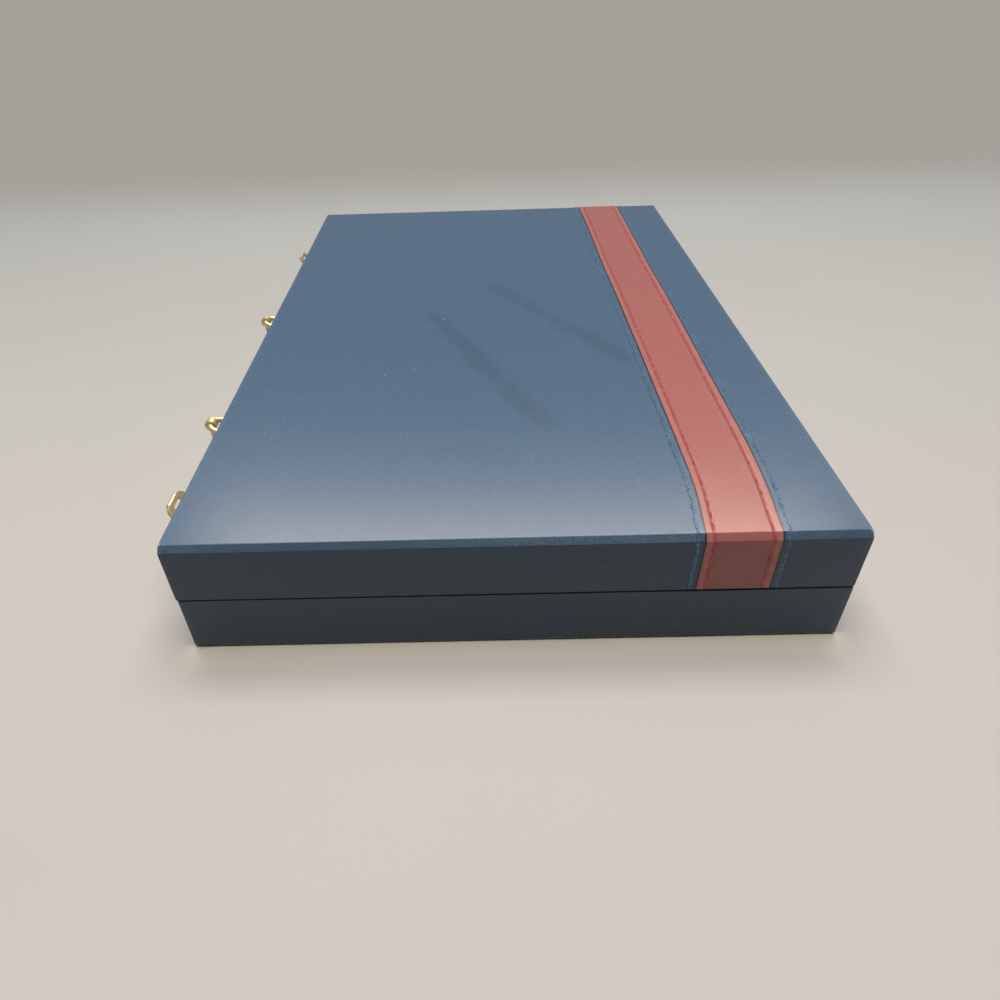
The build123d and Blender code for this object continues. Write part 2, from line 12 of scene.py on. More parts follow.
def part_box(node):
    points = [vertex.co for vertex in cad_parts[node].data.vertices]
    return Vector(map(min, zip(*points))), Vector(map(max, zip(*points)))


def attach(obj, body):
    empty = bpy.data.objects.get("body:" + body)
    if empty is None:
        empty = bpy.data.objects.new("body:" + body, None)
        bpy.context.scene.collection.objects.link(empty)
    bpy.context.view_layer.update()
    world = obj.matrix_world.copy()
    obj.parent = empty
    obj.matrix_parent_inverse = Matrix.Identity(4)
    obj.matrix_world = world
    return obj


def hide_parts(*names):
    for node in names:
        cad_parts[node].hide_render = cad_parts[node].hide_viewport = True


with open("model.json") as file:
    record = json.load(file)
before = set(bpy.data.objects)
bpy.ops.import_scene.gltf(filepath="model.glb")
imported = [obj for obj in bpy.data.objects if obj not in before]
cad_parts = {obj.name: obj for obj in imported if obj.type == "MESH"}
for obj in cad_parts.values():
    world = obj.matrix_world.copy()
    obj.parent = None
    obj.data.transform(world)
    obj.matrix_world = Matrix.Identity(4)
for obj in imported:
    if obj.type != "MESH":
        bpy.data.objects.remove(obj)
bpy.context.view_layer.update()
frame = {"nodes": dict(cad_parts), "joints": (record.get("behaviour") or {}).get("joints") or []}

bl_info = {
    "name": "Travel backgammon case",
    "version": (1, 0, 0),
    "blender": (4, 5, 0),
    "location": "3D View > Sidebar > Backgammon",
    "description": "Makes a leatherette travel backgammon case, its fittings and the pieces inside it",
    "category": "Object",
}

MM = 0.001


def mm(*numbers):
    """Millimetres in metres."""
    return tuple(number * MM for number in numbers)


# Ends of the two creases on the lid's top, painted as lines of shade.
CREASE_SHADES = ((mm(1, 25, 39), mm(45, -42, 39)), (mm(-26, -3, 39), mm(12, -84, 39)))
LID_CHIPS = (mm(-93.2, -138.4, 38.9), mm(93.2, -138.8, 38.6))
BASE_CHIPS = (mm(93.0, -140.3, 0.6), mm(-92.6, -140.3, 0.4))
FINISHES = {}
DUST = (0.6, 0.58, 0.54, 1.0)
BARE_CLOTH = (0.62, 0.6, 0.56, 1.0)
HASP_REST = radians(36)  # how far the hasps stand sprung open
SEWN_AT = 7.85 * MM  # from the middle of the stripe to its red stitches
BAND_EDGE = 10.1 * MM
# How far the stripe was sewn off its straight line, in mm, from the near edge to the far one: its left
# and its right side.
STRAY = ((0.8, 0.2), (2.7, 2.2), (2.9, 3.2), (2.9, 3.3), (2.8, 3.2), (2.8, 3.3), (2.6, 3.3), (2.5, 3.3),
         (2.4, 3.2), (2.0, 2.8), (1.9, 2.8), (2.0, 2.7), (2.0, 2.6), (1.7, 2.7), (1.2, 2.6))


# ---- settings

def length(name, description, default):
    return FloatProperty(name=name, description=description, default=default, unit="LENGTH", min=0.0,
                         precision=5)


def amount(name, description, default, unit="NONE"):
    return FloatProperty(name=name, description=description, default=default, min=0.0, unit=unit)


def colour(name, description, *shown):
    """A colour setting, given as the screen shows it, from 0 to 255."""
    linear = [((v / 255 + 0.055) / 1.055) ** 2.4 if v > 10 else v / 3294.6 for v in shown]
    return FloatVectorProperty(name=name, description=description, subtype="COLOR", size=3,
                               min=0.0, max=1.0, default=linear)


class CaseSizes(bpy.types.PropertyGroup):
    corner: length("Corner", "Rounding of the corners and of the long sides", 0.4 * MM)
    facet: length("Broken edge", "Width taken off the lid's near and far edges", 1.75 * MM)
    foot_facet: length("Foot edge", "Width taken off the base's near and far edges", 0.7 * MM)
    softening: length("Softening", "Rounding beside the broken edge", 0.25 * MM)
    gape: length("Gape", "Extra gap between the halves on the hinge side", 0.35 * MM)
    skin: length("Skin", "Thickness of the leatherette", 0.6 * MM)
    stitch_pitch: length("Stitch pitch", "From one stitch to the next", 4.7 * MM)
    thread: length("Thread", "Half the thickness of the red sewing thread", 0.36 * MM)
    zigzag: length("Zigzag", "From one blue stitch on the welt's edge to the next", 1.3 * MM)
    ragged: length("Ragged edge", "How far the welt's cut edges wander", 0.22 * MM)
    fray: length("Fray", "Longest loose fibre beside the welt", 0.8 * MM)
    fibres: IntProperty(name="Fibres", description="Loose fibres along each side of the welt",
                        default=420, min=0)


class CaseColours(bpy.types.PropertyGroup):
    blue: colour("Blue", "Leatherette of the case", 75, 101, 126)
    red: colour("Red", "Leatherette of the stripe", 172, 101, 95)
    red_thread: colour("Red thread", "Stitches of the stripe", 172, 40, 40)
    teal: colour("Teal", "Leatherette of the welt", 75, 102, 124)
    blue_thread: colour("Blue thread", "Stitches of the welt", 66, 112, 146)
    brass: colour("Brass", "Fittings", 224, 205, 155)
    wood: colour("Wood", "Walls of the trays", 186, 158, 116)
    board: colour("Board", "Boards glued into the trays", 138, 122, 98)
    flock: colour("Flock", "Lining of walls and trough", 44, 58, 84)
    cream: colour("Cream", "Playing field", 220, 205, 174)
    navy: colour("Navy", "Dark points", 48, 66, 98)
    wine: colour("Wine", "Light points", 150, 56, 58)
    ivory: colour("Ivory", "Ivory plastic", 232, 222, 196)
    ruby: colour("Ruby", "Red plastic", 128, 26, 34)


class StageSettings(bpy.types.PropertyGroup):
    near_floor: colour("Floor", "Floor near the camera", 203, 196, 187)
    # Darker than the floor near the camera: painted shade behind the case.
    mid_floor: colour("Floor behind", "Floor behind the case, before the wall", 180, 179, 174)
    far_floor: colour("Far floor", "Floor far behind the case", 164, 160, 154)
    lamp: amount("Lamp", "Power of the large lamp overhead", 32.0, "POWER")
    window: amount("Window", "Power of the lamp that is only mirrored in gloss", 10.5, "POWER")
    mirrored: amount("Mirrored room", "Brightness of the room in glossy surfaces", 0.12)
    daylight: amount("Daylight", "Strength of the even light all round", 0.07)
    horizon: amount("Horizon", "Brightness that the camera sees above the floor", 0.29)


class CaseSettings(bpy.types.PropertyGroup):
    sizes: PointerProperty(type=CaseSizes)
    colours: PointerProperty(type=CaseColours)
    stage: PointerProperty(type=StageSettings)


def settings():
    return bpy.context.scene.travel_case


# ---- modelling

def pick(*pieces):
    """Selects only these pieces, in object mode, the first one active."""
    if bpy.context.mode != "OBJECT":
        bpy.ops.object.mode_set(mode="OBJECT")
    bpy.ops.object.select_all(action="DESELECT")
    for piece in pieces:
        piece.select_set(True)
    if pieces:
        bpy.context.view_layer.objects.active = pieces[0]


def begin(kind, name, scale=None, **options):
    """Adds a primitive, and puts its place, turn and size into its mesh."""
    pick()
    getattr(bpy.ops.mesh, f"primitive_{kind}_add")(**options)
    piece = bpy.context.object
    piece.name = piece.data.name = name
    if scale:
        piece.scale = scale
    settle(piece)
    return piece


def settle(piece, place=None, turn=None):
    """Puts a piece at a place and turn, and keeps them in its mesh."""
    if place:
        piece.location = place
    if turn:
        piece.rotation_euler = turn
    pick(piece)
    bpy.ops.object.transform_apply(location=True, rotation=True, scale=True)


def block(name, low, high):
    """A block between two corners."""
    low, high = Vector(low), Vector(high)
    return begin("cube", name, high - low, size=1, location=(low + high) / 2)


def thread_loop(half_length, thick, segments=8, rings=6):
    """A stitch: a stretched bead."""
    return begin("uv_sphere", "stitch", (thick, half_length, thick), segments=segments, ring_count=rings,
                 radius=1)


@contextmanager
def editing(piece):
    """Edit mode with everything selected."""
    pick(piece)
    bpy.ops.object.mode_set(mode="EDIT")
    bpy.ops.mesh.select_all(action="SELECT")
    yield
    bpy.ops.object.mode_set(mode="OBJECT")


def choose(piece, kind, test):
    """Selects the points, edges or faces of a piece in edit mode that pass a test."""
    bpy.ops.mesh.select_mode(type=kind)
    bpy.ops.mesh.select_all(action="DESELECT")
    shape = bmesh.from_edit_mesh(piece.data)
    shape.normal_update()
    for part in {"VERT": shape.verts, "EDGE": shape.edges, "FACE": shape.faces}[kind]:
        if test(part):
            part.select_set(True)
    shape.select_flush_mode()
    bmesh.update_edit_mesh(piece.data)


def bevel(piece, offset, segments, test):
    """Bevels the edges that pass a test, in edit mode."""
    choose(piece, "EDGE", test)
    bpy.ops.mesh.bevel(offset=offset, segments=segments, affect="EDGES")


def shift(piece, test, offset):
    """Moves the points that pass a test, in edit mode."""
    choose(piece, "VERT", test)
    bpy.ops.transform.translate(value=offset)


def modify(piece, kind, **options):
    """Adds a modifier and applies it."""
    pick(piece)
    modifier = piece.modifiers.new(kind.title(), kind)
    for key, value in options.items():
        setattr(modifier, key, value)
    bpy.ops.object.modifier_apply(modifier=modifier.name)


def soften(piece, width, segments=2, angle=35):
    """Rounds the sharp edges of a piece a little."""
    modify(piece, "BEVEL", width=width, segments=segments, limit_method="ANGLE",
           angle_limit=radians(angle), harden_normals=False)


def cut(piece, cutter, **options):
    """Takes one piece out of another, and removes the cutter."""
    modify(piece, "BOOLEAN", object=cutter, operation="DIFFERENCE", solver="EXACT", **options)
    bpy.data.objects.remove(cutter)


def join(name, pieces):
    """One object of several pieces."""
    pick(*pieces)
    if len(pieces) > 1:
        bpy.ops.object.join()
    pieces[0].name = pieces[0].data.name = name
    return pieces[0]


def twin(piece, name, matrix=Matrix()):
    """A copy with its own mesh, moved by a matrix."""
    copy = bpy.data.objects.new(name, piece.data.copy())
    bpy.context.scene.collection.objects.link(copy)
    copy.data.transform(matrix)
    if matrix.to_3x3().determinant() < 0:
        copy.data.flip_normals()
    return copy


def laid_out(name, model, places):
    """One object of copies of a model at all the places. The model goes."""
    piece = join(name, [twin(model, "copy", place) for place in places])
    bpy.data.objects.remove(model)
    return piece


def at(*place):
    return Matrix.Translation(place)


def turn(angle, axis):
    return Matrix.Rotation(angle, 4, axis)


def turned(name, profile, sides=48):
    """A piece of turned work: a disc drawn out along +Z through (radius, height) steps."""
    (radius, height), *steps = profile
    piece = begin("circle", name, vertices=sides, radius=radius, location=(0, 0, height), fill_type="NGON")
    with editing(piece):
        for new_radius, new_height in steps:
            bpy.ops.mesh.extrude_region_move(
                TRANSFORM_OT_translate={"value": (0, 0, new_height - height)})
            factor = new_radius / radius
            bpy.ops.transform.resize(value=(factor, factor, 1), center_override=(0, 0, new_height))
            radius, height = new_radius, new_height
        bpy.ops.mesh.select_all(action="SELECT")
        bpy.ops.mesh.normals_make_consistent(inside=False)
    return piece


def wire_ring(name, points, radius):
    """A closed loop of round wire along points."""
    line = bpy.data.curves.new(name, "CURVE")
    line.dimensions = "3D"
    line.bevel_depth = radius
    line.bevel_resolution = 6
    spline = line.splines.new("POLY")
    spline.points.add(len(points) - 1)
    for point, place in zip(spline.points, points):
        point.co = (*place, 1)
    spline.use_cyclic_u = True
    piece = bpy.data.objects.new(name, line)
    bpy.context.scene.collection.objects.link(piece)
    pick(piece)
    bpy.ops.object.convert(target="MESH")
    piece = bpy.context.object
    with editing(piece):
        bpy.ops.mesh.normals_make_consistent(inside=False)
    return piece


def bent(corners, bend, steps=6):
    """Points round a closed line whose corners are bent to a radius."""
    points = []
    for index, corner in enumerate(corners):
        back = (corners[index - 1] - corner).normalized()
        ahead = (corners[(index + 1) % len(corners)] - corner).normalized()
        half = back.angle(ahead) / 2
        centre = corner + (back + ahead).normalized() * bend / sin(half)
        start, end = (corner + way * bend / tan(half) - centre for way in (back, ahead))
        for step in range(steps + 1):
            spoke = start.normalized().slerp(end.normalized(), step / steps)
            points.append(centre + spoke * start.length)
    return points


def cover(piece, finish):
    """Gives a piece one finish all over."""
    piece.data.materials.clear()
    piece.data.materials.append(FINISHES[finish])


def paint(piece, finish, test):
    """Gives a second finish to the faces that pass a test."""
    piece.data.materials.append(FINISHES[finish])
    for face in piece.data.polygons:
        if test(face):
            face.material_index = len(piece.data.materials) - 1


def dressed(node, name, width=0.12 * MM, segments=2):
    """A CAD part with its triangles merged and its sharp edges softened."""
    piece = twin(frame["nodes"][node], name)
    with editing(piece):
        bpy.ops.mesh.remove_doubles(threshold=0.0005 * MM)
        bpy.ops.mesh.dissolve_limited(angle_limit=radians(2))
    soften(piece, width, segments)
    return piece


def box(node):
    """The low and the high corner of a CAD part, and its middle."""
    low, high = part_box(node)
    return low.copy(), high.copy(), (low + high) / 2


def along_y(node, gap=2 * MM):
    """The boxes of a CAD part's solids, which stand apart along Y."""
    points = sorted((v.co for v in frame["nodes"][node].data.vertices), key=lambda co: co.y)
    groups = [[points[0]]]
    for point in points[1:]:
        if point.y - groups[-1][-1].y > gap:
            groups.append([])
        groups[-1].append(point)
    return [[Vector(map(limit, zip(*group))) for limit in (min, max)] for group in groups]


def joint_place(name):
    return next(Vector(joint["pos_m"]) for joint in frame["joints"] if joint["name"] == name)


def rounded_block(name, low, high, corner, segments=4):
    """A block whose edges along X are rounded."""
    piece = block(name, low, high)
    with editing(piece):
        bevel(piece, corner, segments, lambda e: abs((e.verts[0].co - e.verts[1].co).normalized().x) > 0.9)
    return piece


def rod(name, centre, radius, depth, sides=24):
    """A round bar along Y."""
    return begin("cylinder", name, vertices=sides, radius=radius, depth=depth, location=centre,
                 rotation=(pi / 2, 0, 0))


def done(piece, body, slot, finish, *replaced, angle=35):
    """Finishes a piece: its shading, finish, body and the CAD nodes that it stands for."""
    settle(piece)
    bpy.ops.object.shade_smooth_by_angle(angle=radians(angle))
    modify(piece, "WEIGHTED_NORMAL", keep_sharp=True)
    if finish:
        cover(piece, finish)
    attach(piece, body)
    if replaced:
        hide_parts(*replaced)
    return piece


def brass(piece, body, node, **options):
    """Finishes a brass piece."""
    return done(piece, body, "brass", "brass", node, **options)


def fitting(node, name, body, width=0.12 * MM):
    """A brass part that keeps its CAD shape, softened."""
    return brass(dressed(node, name, width), body, node)


# ---- nodes

class Value:
    """An output of a node. What is reckoned with it becomes more nodes of the same tree."""

    def __init__(self, tree, socket):
        self.tree, self.socket = tree, socket

    def __getitem__(self, output):
        return Value(self.tree, self.socket.node.outputs[output])

    def __add__(self, other):
        return self.math("ADD", other)

    def __sub__(self, other):
        return self.math("SUBTRACT", other)

    def __mul__(self, other):
        return self.math("MULTIPLY", other)

    def __abs__(self):
        return self.math("ABSOLUTE")

    def most(self, other):
        return self.math("MAXIMUM", other)

    def math(self, operation, *others):
        return add(self.tree, "ShaderNodeMath", (self, *others), operation=operation)

    def vector(self, operation, *others, out="Vector"):
        return add(self.tree, "ShaderNodeVectorMath", (self, *others), out, operation=operation)

    def number(self, operation, *others):
        """A vector operation that gives a number."""
        return self.vector(operation, *others, out="Value")

    def stretched(self, x, y, z):
        return self.vector("MULTIPLY", (x, y, z))

    def sized(self, factor):
        return add(self.tree, "ShaderNodeVectorMath", {0: self, "Scale": factor}, operation="SCALE")

    def parts(self):
        """X, Y and Z."""
        split = add(self.tree, "ShaderNodeSeparateXYZ", (self,))
        return split, split[1], split[2]

    def noise(self, scale, detail=2, roughness=0.5, out="Fac"):
        return add(self.tree, "ShaderNodeTexNoise", {
            "Vector": self, "Scale": scale, "Detail": detail, "Roughness": roughness}, out)

    def cells(self, scale, **options):
        """The distance to the cells' centres or edges."""
        return add(self.tree, "ShaderNodeTexVoronoi", {"Vector": self, "Scale": scale}, "Distance", **options)

    def rise(self, low, high, to_low=0, to_high=1):
        """A smooth step from one level to another."""
        return add(self.tree, "ShaderNodeMapRange", (self, low, high, to_low, to_high),
                   interpolation_type="SMOOTHSTEP")

    def fall(self, low, high, top=1):
        return self.rise(low, high, top, 0)

    def group(self, name, **inputs):
        """A node group with this value as its Vector."""
        named = {key.replace("_", " "): value for key, value in inputs.items()}
        return add(self.tree, "ShaderNodeGroup", {"Vector": self, **named},
                   node_tree=bpy.data.node_groups[name])


def feed(tree, socket, value):
    """Links a value to a socket, or sets a number on it."""
    if isinstance(value, Value):
        tree.links.new(value.socket, socket)
    else:
        socket.default_value = value


def add(tree, kind, inputs=(), out=0, **options):
    """An output of a new node, whose inputs are given in order or by name."""
    node = tree.nodes.new(kind)
    for key, value in options.items():
        setattr(node, key, value)
    for key, value in inputs.items() if isinstance(inputs, dict) else enumerate(inputs):
        feed(tree, node.inputs[key], value)
    return Value(tree, node.outputs[out])


def mix(mask, first, second, blend="MIX"):
    """The first colour, and the second one where the mask is 1."""
    tree = next(value.tree for value in (mask, first) if isinstance(value, Value))
    return add(tree, "ShaderNodeMix", {0: mask, 6: first, 7: second}, 2, data_type="RGBA", blend_type=blend)


def rgba(value, factor=1.0):
    return (*[v * factor for v in value], 1.0)


def node_group(fill, **inputs):
    """A shader node group, named like the function that gets its inputs and returns its outputs.

    The default of an input is a number, or None for a vector.
    """
    tree = bpy.data.node_groups.new(fill.__name__, "ShaderNodeTree")
    for key, default in inputs.items():
        socket = tree.interface.new_socket(key.replace("_", " "), in_out="INPUT", socket_type=(
            "NodeSocketVector" if default is None else "NodeSocketFloat"))
        if default is not None:
            socket.default_value = default
    given = tree.nodes.new("NodeGroupInput").outputs
    masks = fill(*(Value(tree, given[index]) for index in range(len(inputs))))
    for key in masks:
        tree.interface.new_socket(key, in_out="OUTPUT", socket_type="NodeSocketFloat")
    out = tree.nodes.new("NodeGroupOutput").inputs
    for key, value in masks.items():
        feed(tree, out[key], value)


def linen_grain(place, pitch, waver):
    """Fine crossed threads pressed into leatherette, on each flat side of a box."""
    drift = place.noise(700, out="Color").vector("SUBTRACT", (0.5, 0.5, 0.5))
    turns = add(place.tree, "ShaderNodeMath", (tau, pitch), operation="DIVIDE")
    x, y, z = ((part * turns).math("SINE") for part in place.vector("ADD", drift.sized(waver)).parts())
    slub = place.stretched(0.55, 1, 1).noise(2400)
    return {"Height": (x + y + z).math("MULTIPLY_ADD", 0.16, slub * 0.45), "Slub": slub}


def box_edges(place, centre, half_size, width, patchiness):
    """Finds the edges of a box: 1 where two of its sides meet, falling to 0 over a width."""
    inside = half_size.vector("SUBTRACT", place.vector("SUBTRACT", centre).vector("ABSOLUTE"))
    x, y, z = (part.fall(0, width) for part in inside.parts())
    patches = place.noise(160, 4, 0.65).rise(0.42, 0.62)
    kept = (patches - 1).math("MULTIPLY_ADD", patchiness, 1)
    return {"Mask": (x * y).most(y * z).most(z * x) * kept}


def scuffs(place, amount):
    """Short pale rubs along the case, and tiny specks."""
    where = place.noise(22).rise(0.5, 0.68)
    lines = place.stretched(1, 1, 9).noise(150, 4, 0.7).rise(0.6, 0.7)
    few = place.noise(35, 1).rise(0.6, 0.66)
    return {"Rubs": where * lines * amount, "Specks": place.cells(90).fall(0.03, 0.06) * few * amount}


def crease_shade(place, start, end, width):
    """A soft, uneven crease between two points, painted as a dark line of shade."""
    along, here = end.vector("SUBTRACT", start), place.vector("SUBTRACT", start)
    share = here.number("DOT_PRODUCT", along).math("DIVIDE", along.number("DOT_PRODUCT", along))
    off = here.number("DISTANCE", along.sized(share.math("MINIMUM", 1).most(0)))
    line = (off + place.noise(60, 3) * (6 * MM)).fall(3 * MM, width + 3 * MM)
    return {"Mask": line * place.noise(45).rise(0.25, 0.6, 0.4)}


def new_material(name, roughness=0.5, **fixed):
    """A material: the sockets of its shader, and the Object coordinates."""
    material = FINISHES[name] = bpy.data.materials.new(name)
    material.use_nodes = True
    shader = material.node_tree.nodes["Principled BSDF"].inputs
    for key, value in {"Roughness": roughness, **fixed}.items():
        shader[key.replace("_", " ")].default_value = value
    return shader, add(material.node_tree, "ShaderNodeTexCoord", out="Object")


def dress(shader, tone, rough=None, height=None, depth=0.0, strength=1.0):
    """Links what changes over the surface to a shader: colour, roughness and relief."""
    feed(tone.tree, shader["Base Color"], tone)
    if rough:
        feed(tone.tree, shader["Roughness"], rough)
    if height:
        feed(tone.tree, shader["Normal"], add(tone.tree, "ShaderNodeBump", {
            "Height": height, "Distance": depth, "Strength": strength}))


def leatherette(name, base, node, rim=0, worn=0.35, crease_shades=(), chips=(), side_shade=0.0, sewn=None):
    """Linen-grained leatherette with rubs, specks and rubbed edges, but not at its upper or lower rim.

    crease_shades are the ends of creases, painted as dark lines of shade; chips are worn corners; and
    side_shade is how far the upright sides are painted darker as shade. sewn paints what lies along a stripe,
    and gets the distance from its middle.
    """
    shader, place = new_material(name, Specular_IOR_Level=0.34, Sheen_Weight=0.08, Sheen_Roughness=0.5)
    grain = place.group("linen_grain")
    low, high, _ = box(node)
    low.z -= 20 * MM * (rim < 0)
    high.z += 20 * MM * (rim > 0)
    edges = place.group("box_edges", Centre=(low + high) / 2, Half_Size=(high - low) / 2, Width=2.2 * MM)
    marks = place.group("scuffs", Amount=worn)
    lean = abs(place["Normal"].parts()[2])
    upright = lean.fall(0.5, 1)
    tone = mix(place.noise(14, 4, 0.6), rgba(base, 0.93), rgba(base, 1.05))
    tone = mix(grain["Slub"].rise(0.3, 0.75, 0, 0.1), tone, rgba(base, 1.2))
    # Painted shade along the creases on the lid's top.
    for start, end in crease_shades:
        tone = mix(place.group("crease_shade", Start=start, End=end) * 0.25, tone, rgba(base, 0.35))
    # The upright sides are painted darker: painted shade, as they face away from the lamps.
    tone = mix(upright * side_shade, tone, rgba(base, 0.3))
    slope = abs(lean - 0.7).fall(0.08, 0.2)
    crumbs = place.stretched(0.6, 1, 1).noise(3800).rise(0.46, 0.62)
    bare = place.noise(26).rise(0.4, 0.6, 0.15)
    for mask, share in ((crumbs * bare * slope, 0.9 * worn), (edges, 0.4 * worn), (marks["Rubs"], 0.2),
                        (marks["Rubs"] * upright, 0.35)):
        tone = mix(mask * share, tone, rgba([0.5 * v + 0.25 for v in base]))
    tone = mix(marks["Specks"], tone, DUST)
    for chip in chips:
        away = place.number("DISTANCE", chip) + crumbs * (0.4 * MM)
        tone = mix(away.fall(0.5 * MM, 1.1 * MM, 0.85), tone, BARE_CLOTH)
    height = grain["Height"]
    if sewn:
        aside = abs(add(place.tree, "ShaderNodeAttribute", out="Fac", attribute_name="aside"))
        tone, height = sewn(place, aside, tone, height, base)
    dress(shader, tone, grain["Slub"].rise(0.2, 0.8, 0.18, 0.29), height, 0.015 * MM, 0.75)


def hem_marks(place, aside, tone, height, base):
    """The red band: a sunk line where it is stitched, painted darker as shade in the groove, and a paler hem
    outside it.
    """
    dip = abs(aside - SEWN_AT).fall(0.25 * MM, 0.8 * MM)
    crease = place.noise(420, 3).rise(0.35, 0.65, 0.15, 0.45)
    tone = mix(aside.rise(SEWN_AT, 8.3 * MM) * crease, tone, rgba(base, 1.4))
    # Painted shade in the sunk stitch line.
    tone = mix(dip * 0.8, tone, rgba((0.8 * base[0], 0.4 * base[1], 0.4 * base[2])))
    return tone, height - dip * 6


def welt_marks(place, aside, tone, height, base):
    """The welt: a dark line beside the band, painted as the shadow under the band's edge, and a frayed outer
    edge in two blues.
    """
    wander = place.noise(260).math("MULTIPLY_ADD", 0.5 * MM, 0.2 * MM)
    # gap is a painted shadow: a thin dark line under the edge of the band.
    gap = (abs(aside - BAND_EDGE) - wander).fall(-0.1 * MM, 0.1 * MM, 0.85)
    tone = mix(gap, tone, rgba(base, 0.12))
    frayed = (aside + place.noise(900) * MM).rise(11.8 * MM, 12.4 * MM)
    bits = place.stretched(1, 1.6, 1.6).noise(800).rise(0.42, 0.58)
    thread = settings().colours.blue_thread
    return mix(frayed * 0.75, tone, mix(bits, rgba(thread, 0.4), rgba(thread, 1.1))), height


def make_materials():
    """All the finishes."""
    node_group(linen_grain, Vector=None, Pitch=0.5 * MM, Waver=0.12 * MM)
    node_group(box_edges, Vector=None, Centre=None, Half_Size=None, Width=2 * MM, Patchiness=0.6)
    node_group(scuffs, Vector=None, Amount=0.5)
    node_group(crease_shade, Vector=None, Start=None, End=None, Width=7 * MM)
    tones = settings().colours
    leatherette("lid_blue", tones.blue, "lid_cover", -1, crease_shades=CREASE_SHADES, chips=LID_CHIPS, side_shade=0.8)
    leatherette("base_blue", tones.blue, "base_cover", 1, chips=BASE_CHIPS, side_shade=0.8)
    leatherette("welt_blue", tones.teal, "stripe_welt", -1, 0.15, side_shade=0.8, sewn=welt_marks)
    leatherette("stripe_red", tones.red, "stripe_band", -1, 0.15, side_shade=0.4, sewn=hem_marks)
    leatherette("cup_blue", tones.blue, "dice_cup_near", worn=0.1)
    leatherette("grip_blue", tones.blue, "handle_grip", worn=0.1)

    for name, tone in (("red_thread", tones.red_thread), ("blue_thread", tones.blue_thread)):
        shader, place = new_material(name, 0.6, Sheen_Weight=0.3)
        twist = place.stretched(1, 0.4, 1).noise(3500)
        tone = mix(place.noise(260).rise(0.42, 0.6), rgba(tone, 0.55), rgba([0.9 * v + 0.03 for v in tone]))
        lit = mix(1.0, tone, (1.5, 1.5, 1.5, 1), "MULTIPLY")
        dress(shader, mix(twist, tone, lit), None, twist, 0.08 * MM)

    shader, place = new_material("brass", Metallic=0.55)
    tarnish = place.noise(260, 5, 0.65)
    tone = mix(tarnish.rise(0.35, 0.7), rgba(tones.brass), rgba(tones.brass, 0.78))
    scratches = place.stretched(1, 6, 1).noise(1400, 3)
    dress(shader, tone, tarnish.rise(0.3, 0.7, 0.3, 0.46), scratches, 0.02 * MM, 0.5)

    for name, tone, across in (("wood", tones.wood, 14), ("board", tones.board, 1)):
        shader, place = new_material(name, 0.62)
        fibre = place.stretched(across, 1, across).noise(60, 6, 0.62)
        dress(shader, mix(fibre, rgba(tone, 0.62), rgba(tone, 1.25)), None, fibre, 0.08 * MM)

    shader, place = new_material("blue_flock", 0.9, Sheen_Weight=0.6, Sheen_Roughness=0.4)
    pile = place.noise(2600, 3, 0.7)
    tone = mix(pile, rgba(tones.flock, 0.55), rgba(tones.flock, 1.4))
    brushed = place.noise(45, 3).rise(0.4, 0.65, 0, 0.5)
    dress(shader, mix(brushed, tone, rgba(tones.flock, 0.5)), None, pile, 0.25 * MM)

    for name, tone in (("cream_vinyl", tones.cream), ("navy_vinyl", tones.navy), ("wine_vinyl", tones.wine)):
        shader, place = new_material(name, 0.45)
        pores = place.cells(900, feature="DISTANCE_TO_EDGE").rise(0, 0.12)
        clouds = place.noise(30, 4)
        tone = mix(clouds, rgba(tone, 0.88), rgba(tone, 1.1))
        tone = mix(pores, mix(0.28, tone, (0, 0, 0, 1), "MULTIPLY"), tone)
        dress(shader, tone, clouds.rise(0.3, 0.7, 0.4, 0.52), pores, 0.05 * MM)

    for name, tone in (("ivory_plastic", tones.ivory), ("ruby_plastic", tones.ruby)):
        shader, place = new_material(name, 0.2, Coat_Weight=0.4, Coat_Roughness=0.08)
        veins = place.stretched(1, 0.6, 1.3).noise(130, 6, 0.7).rise(0.4, 0.62)
        rough = place.noise(400, 3).rise(0.3, 0.7, 0.14, 0.28)
        dress(shader, mix(veins, rgba(tone, 0.78), rgba(tone, 1.12)), rough)


# ---- the case

def faces(axis, least, most=2, sign=1):
    """A test for faces whose normal leans along an axis."""
    return lambda face: least < face.normal[axis] * sign < most


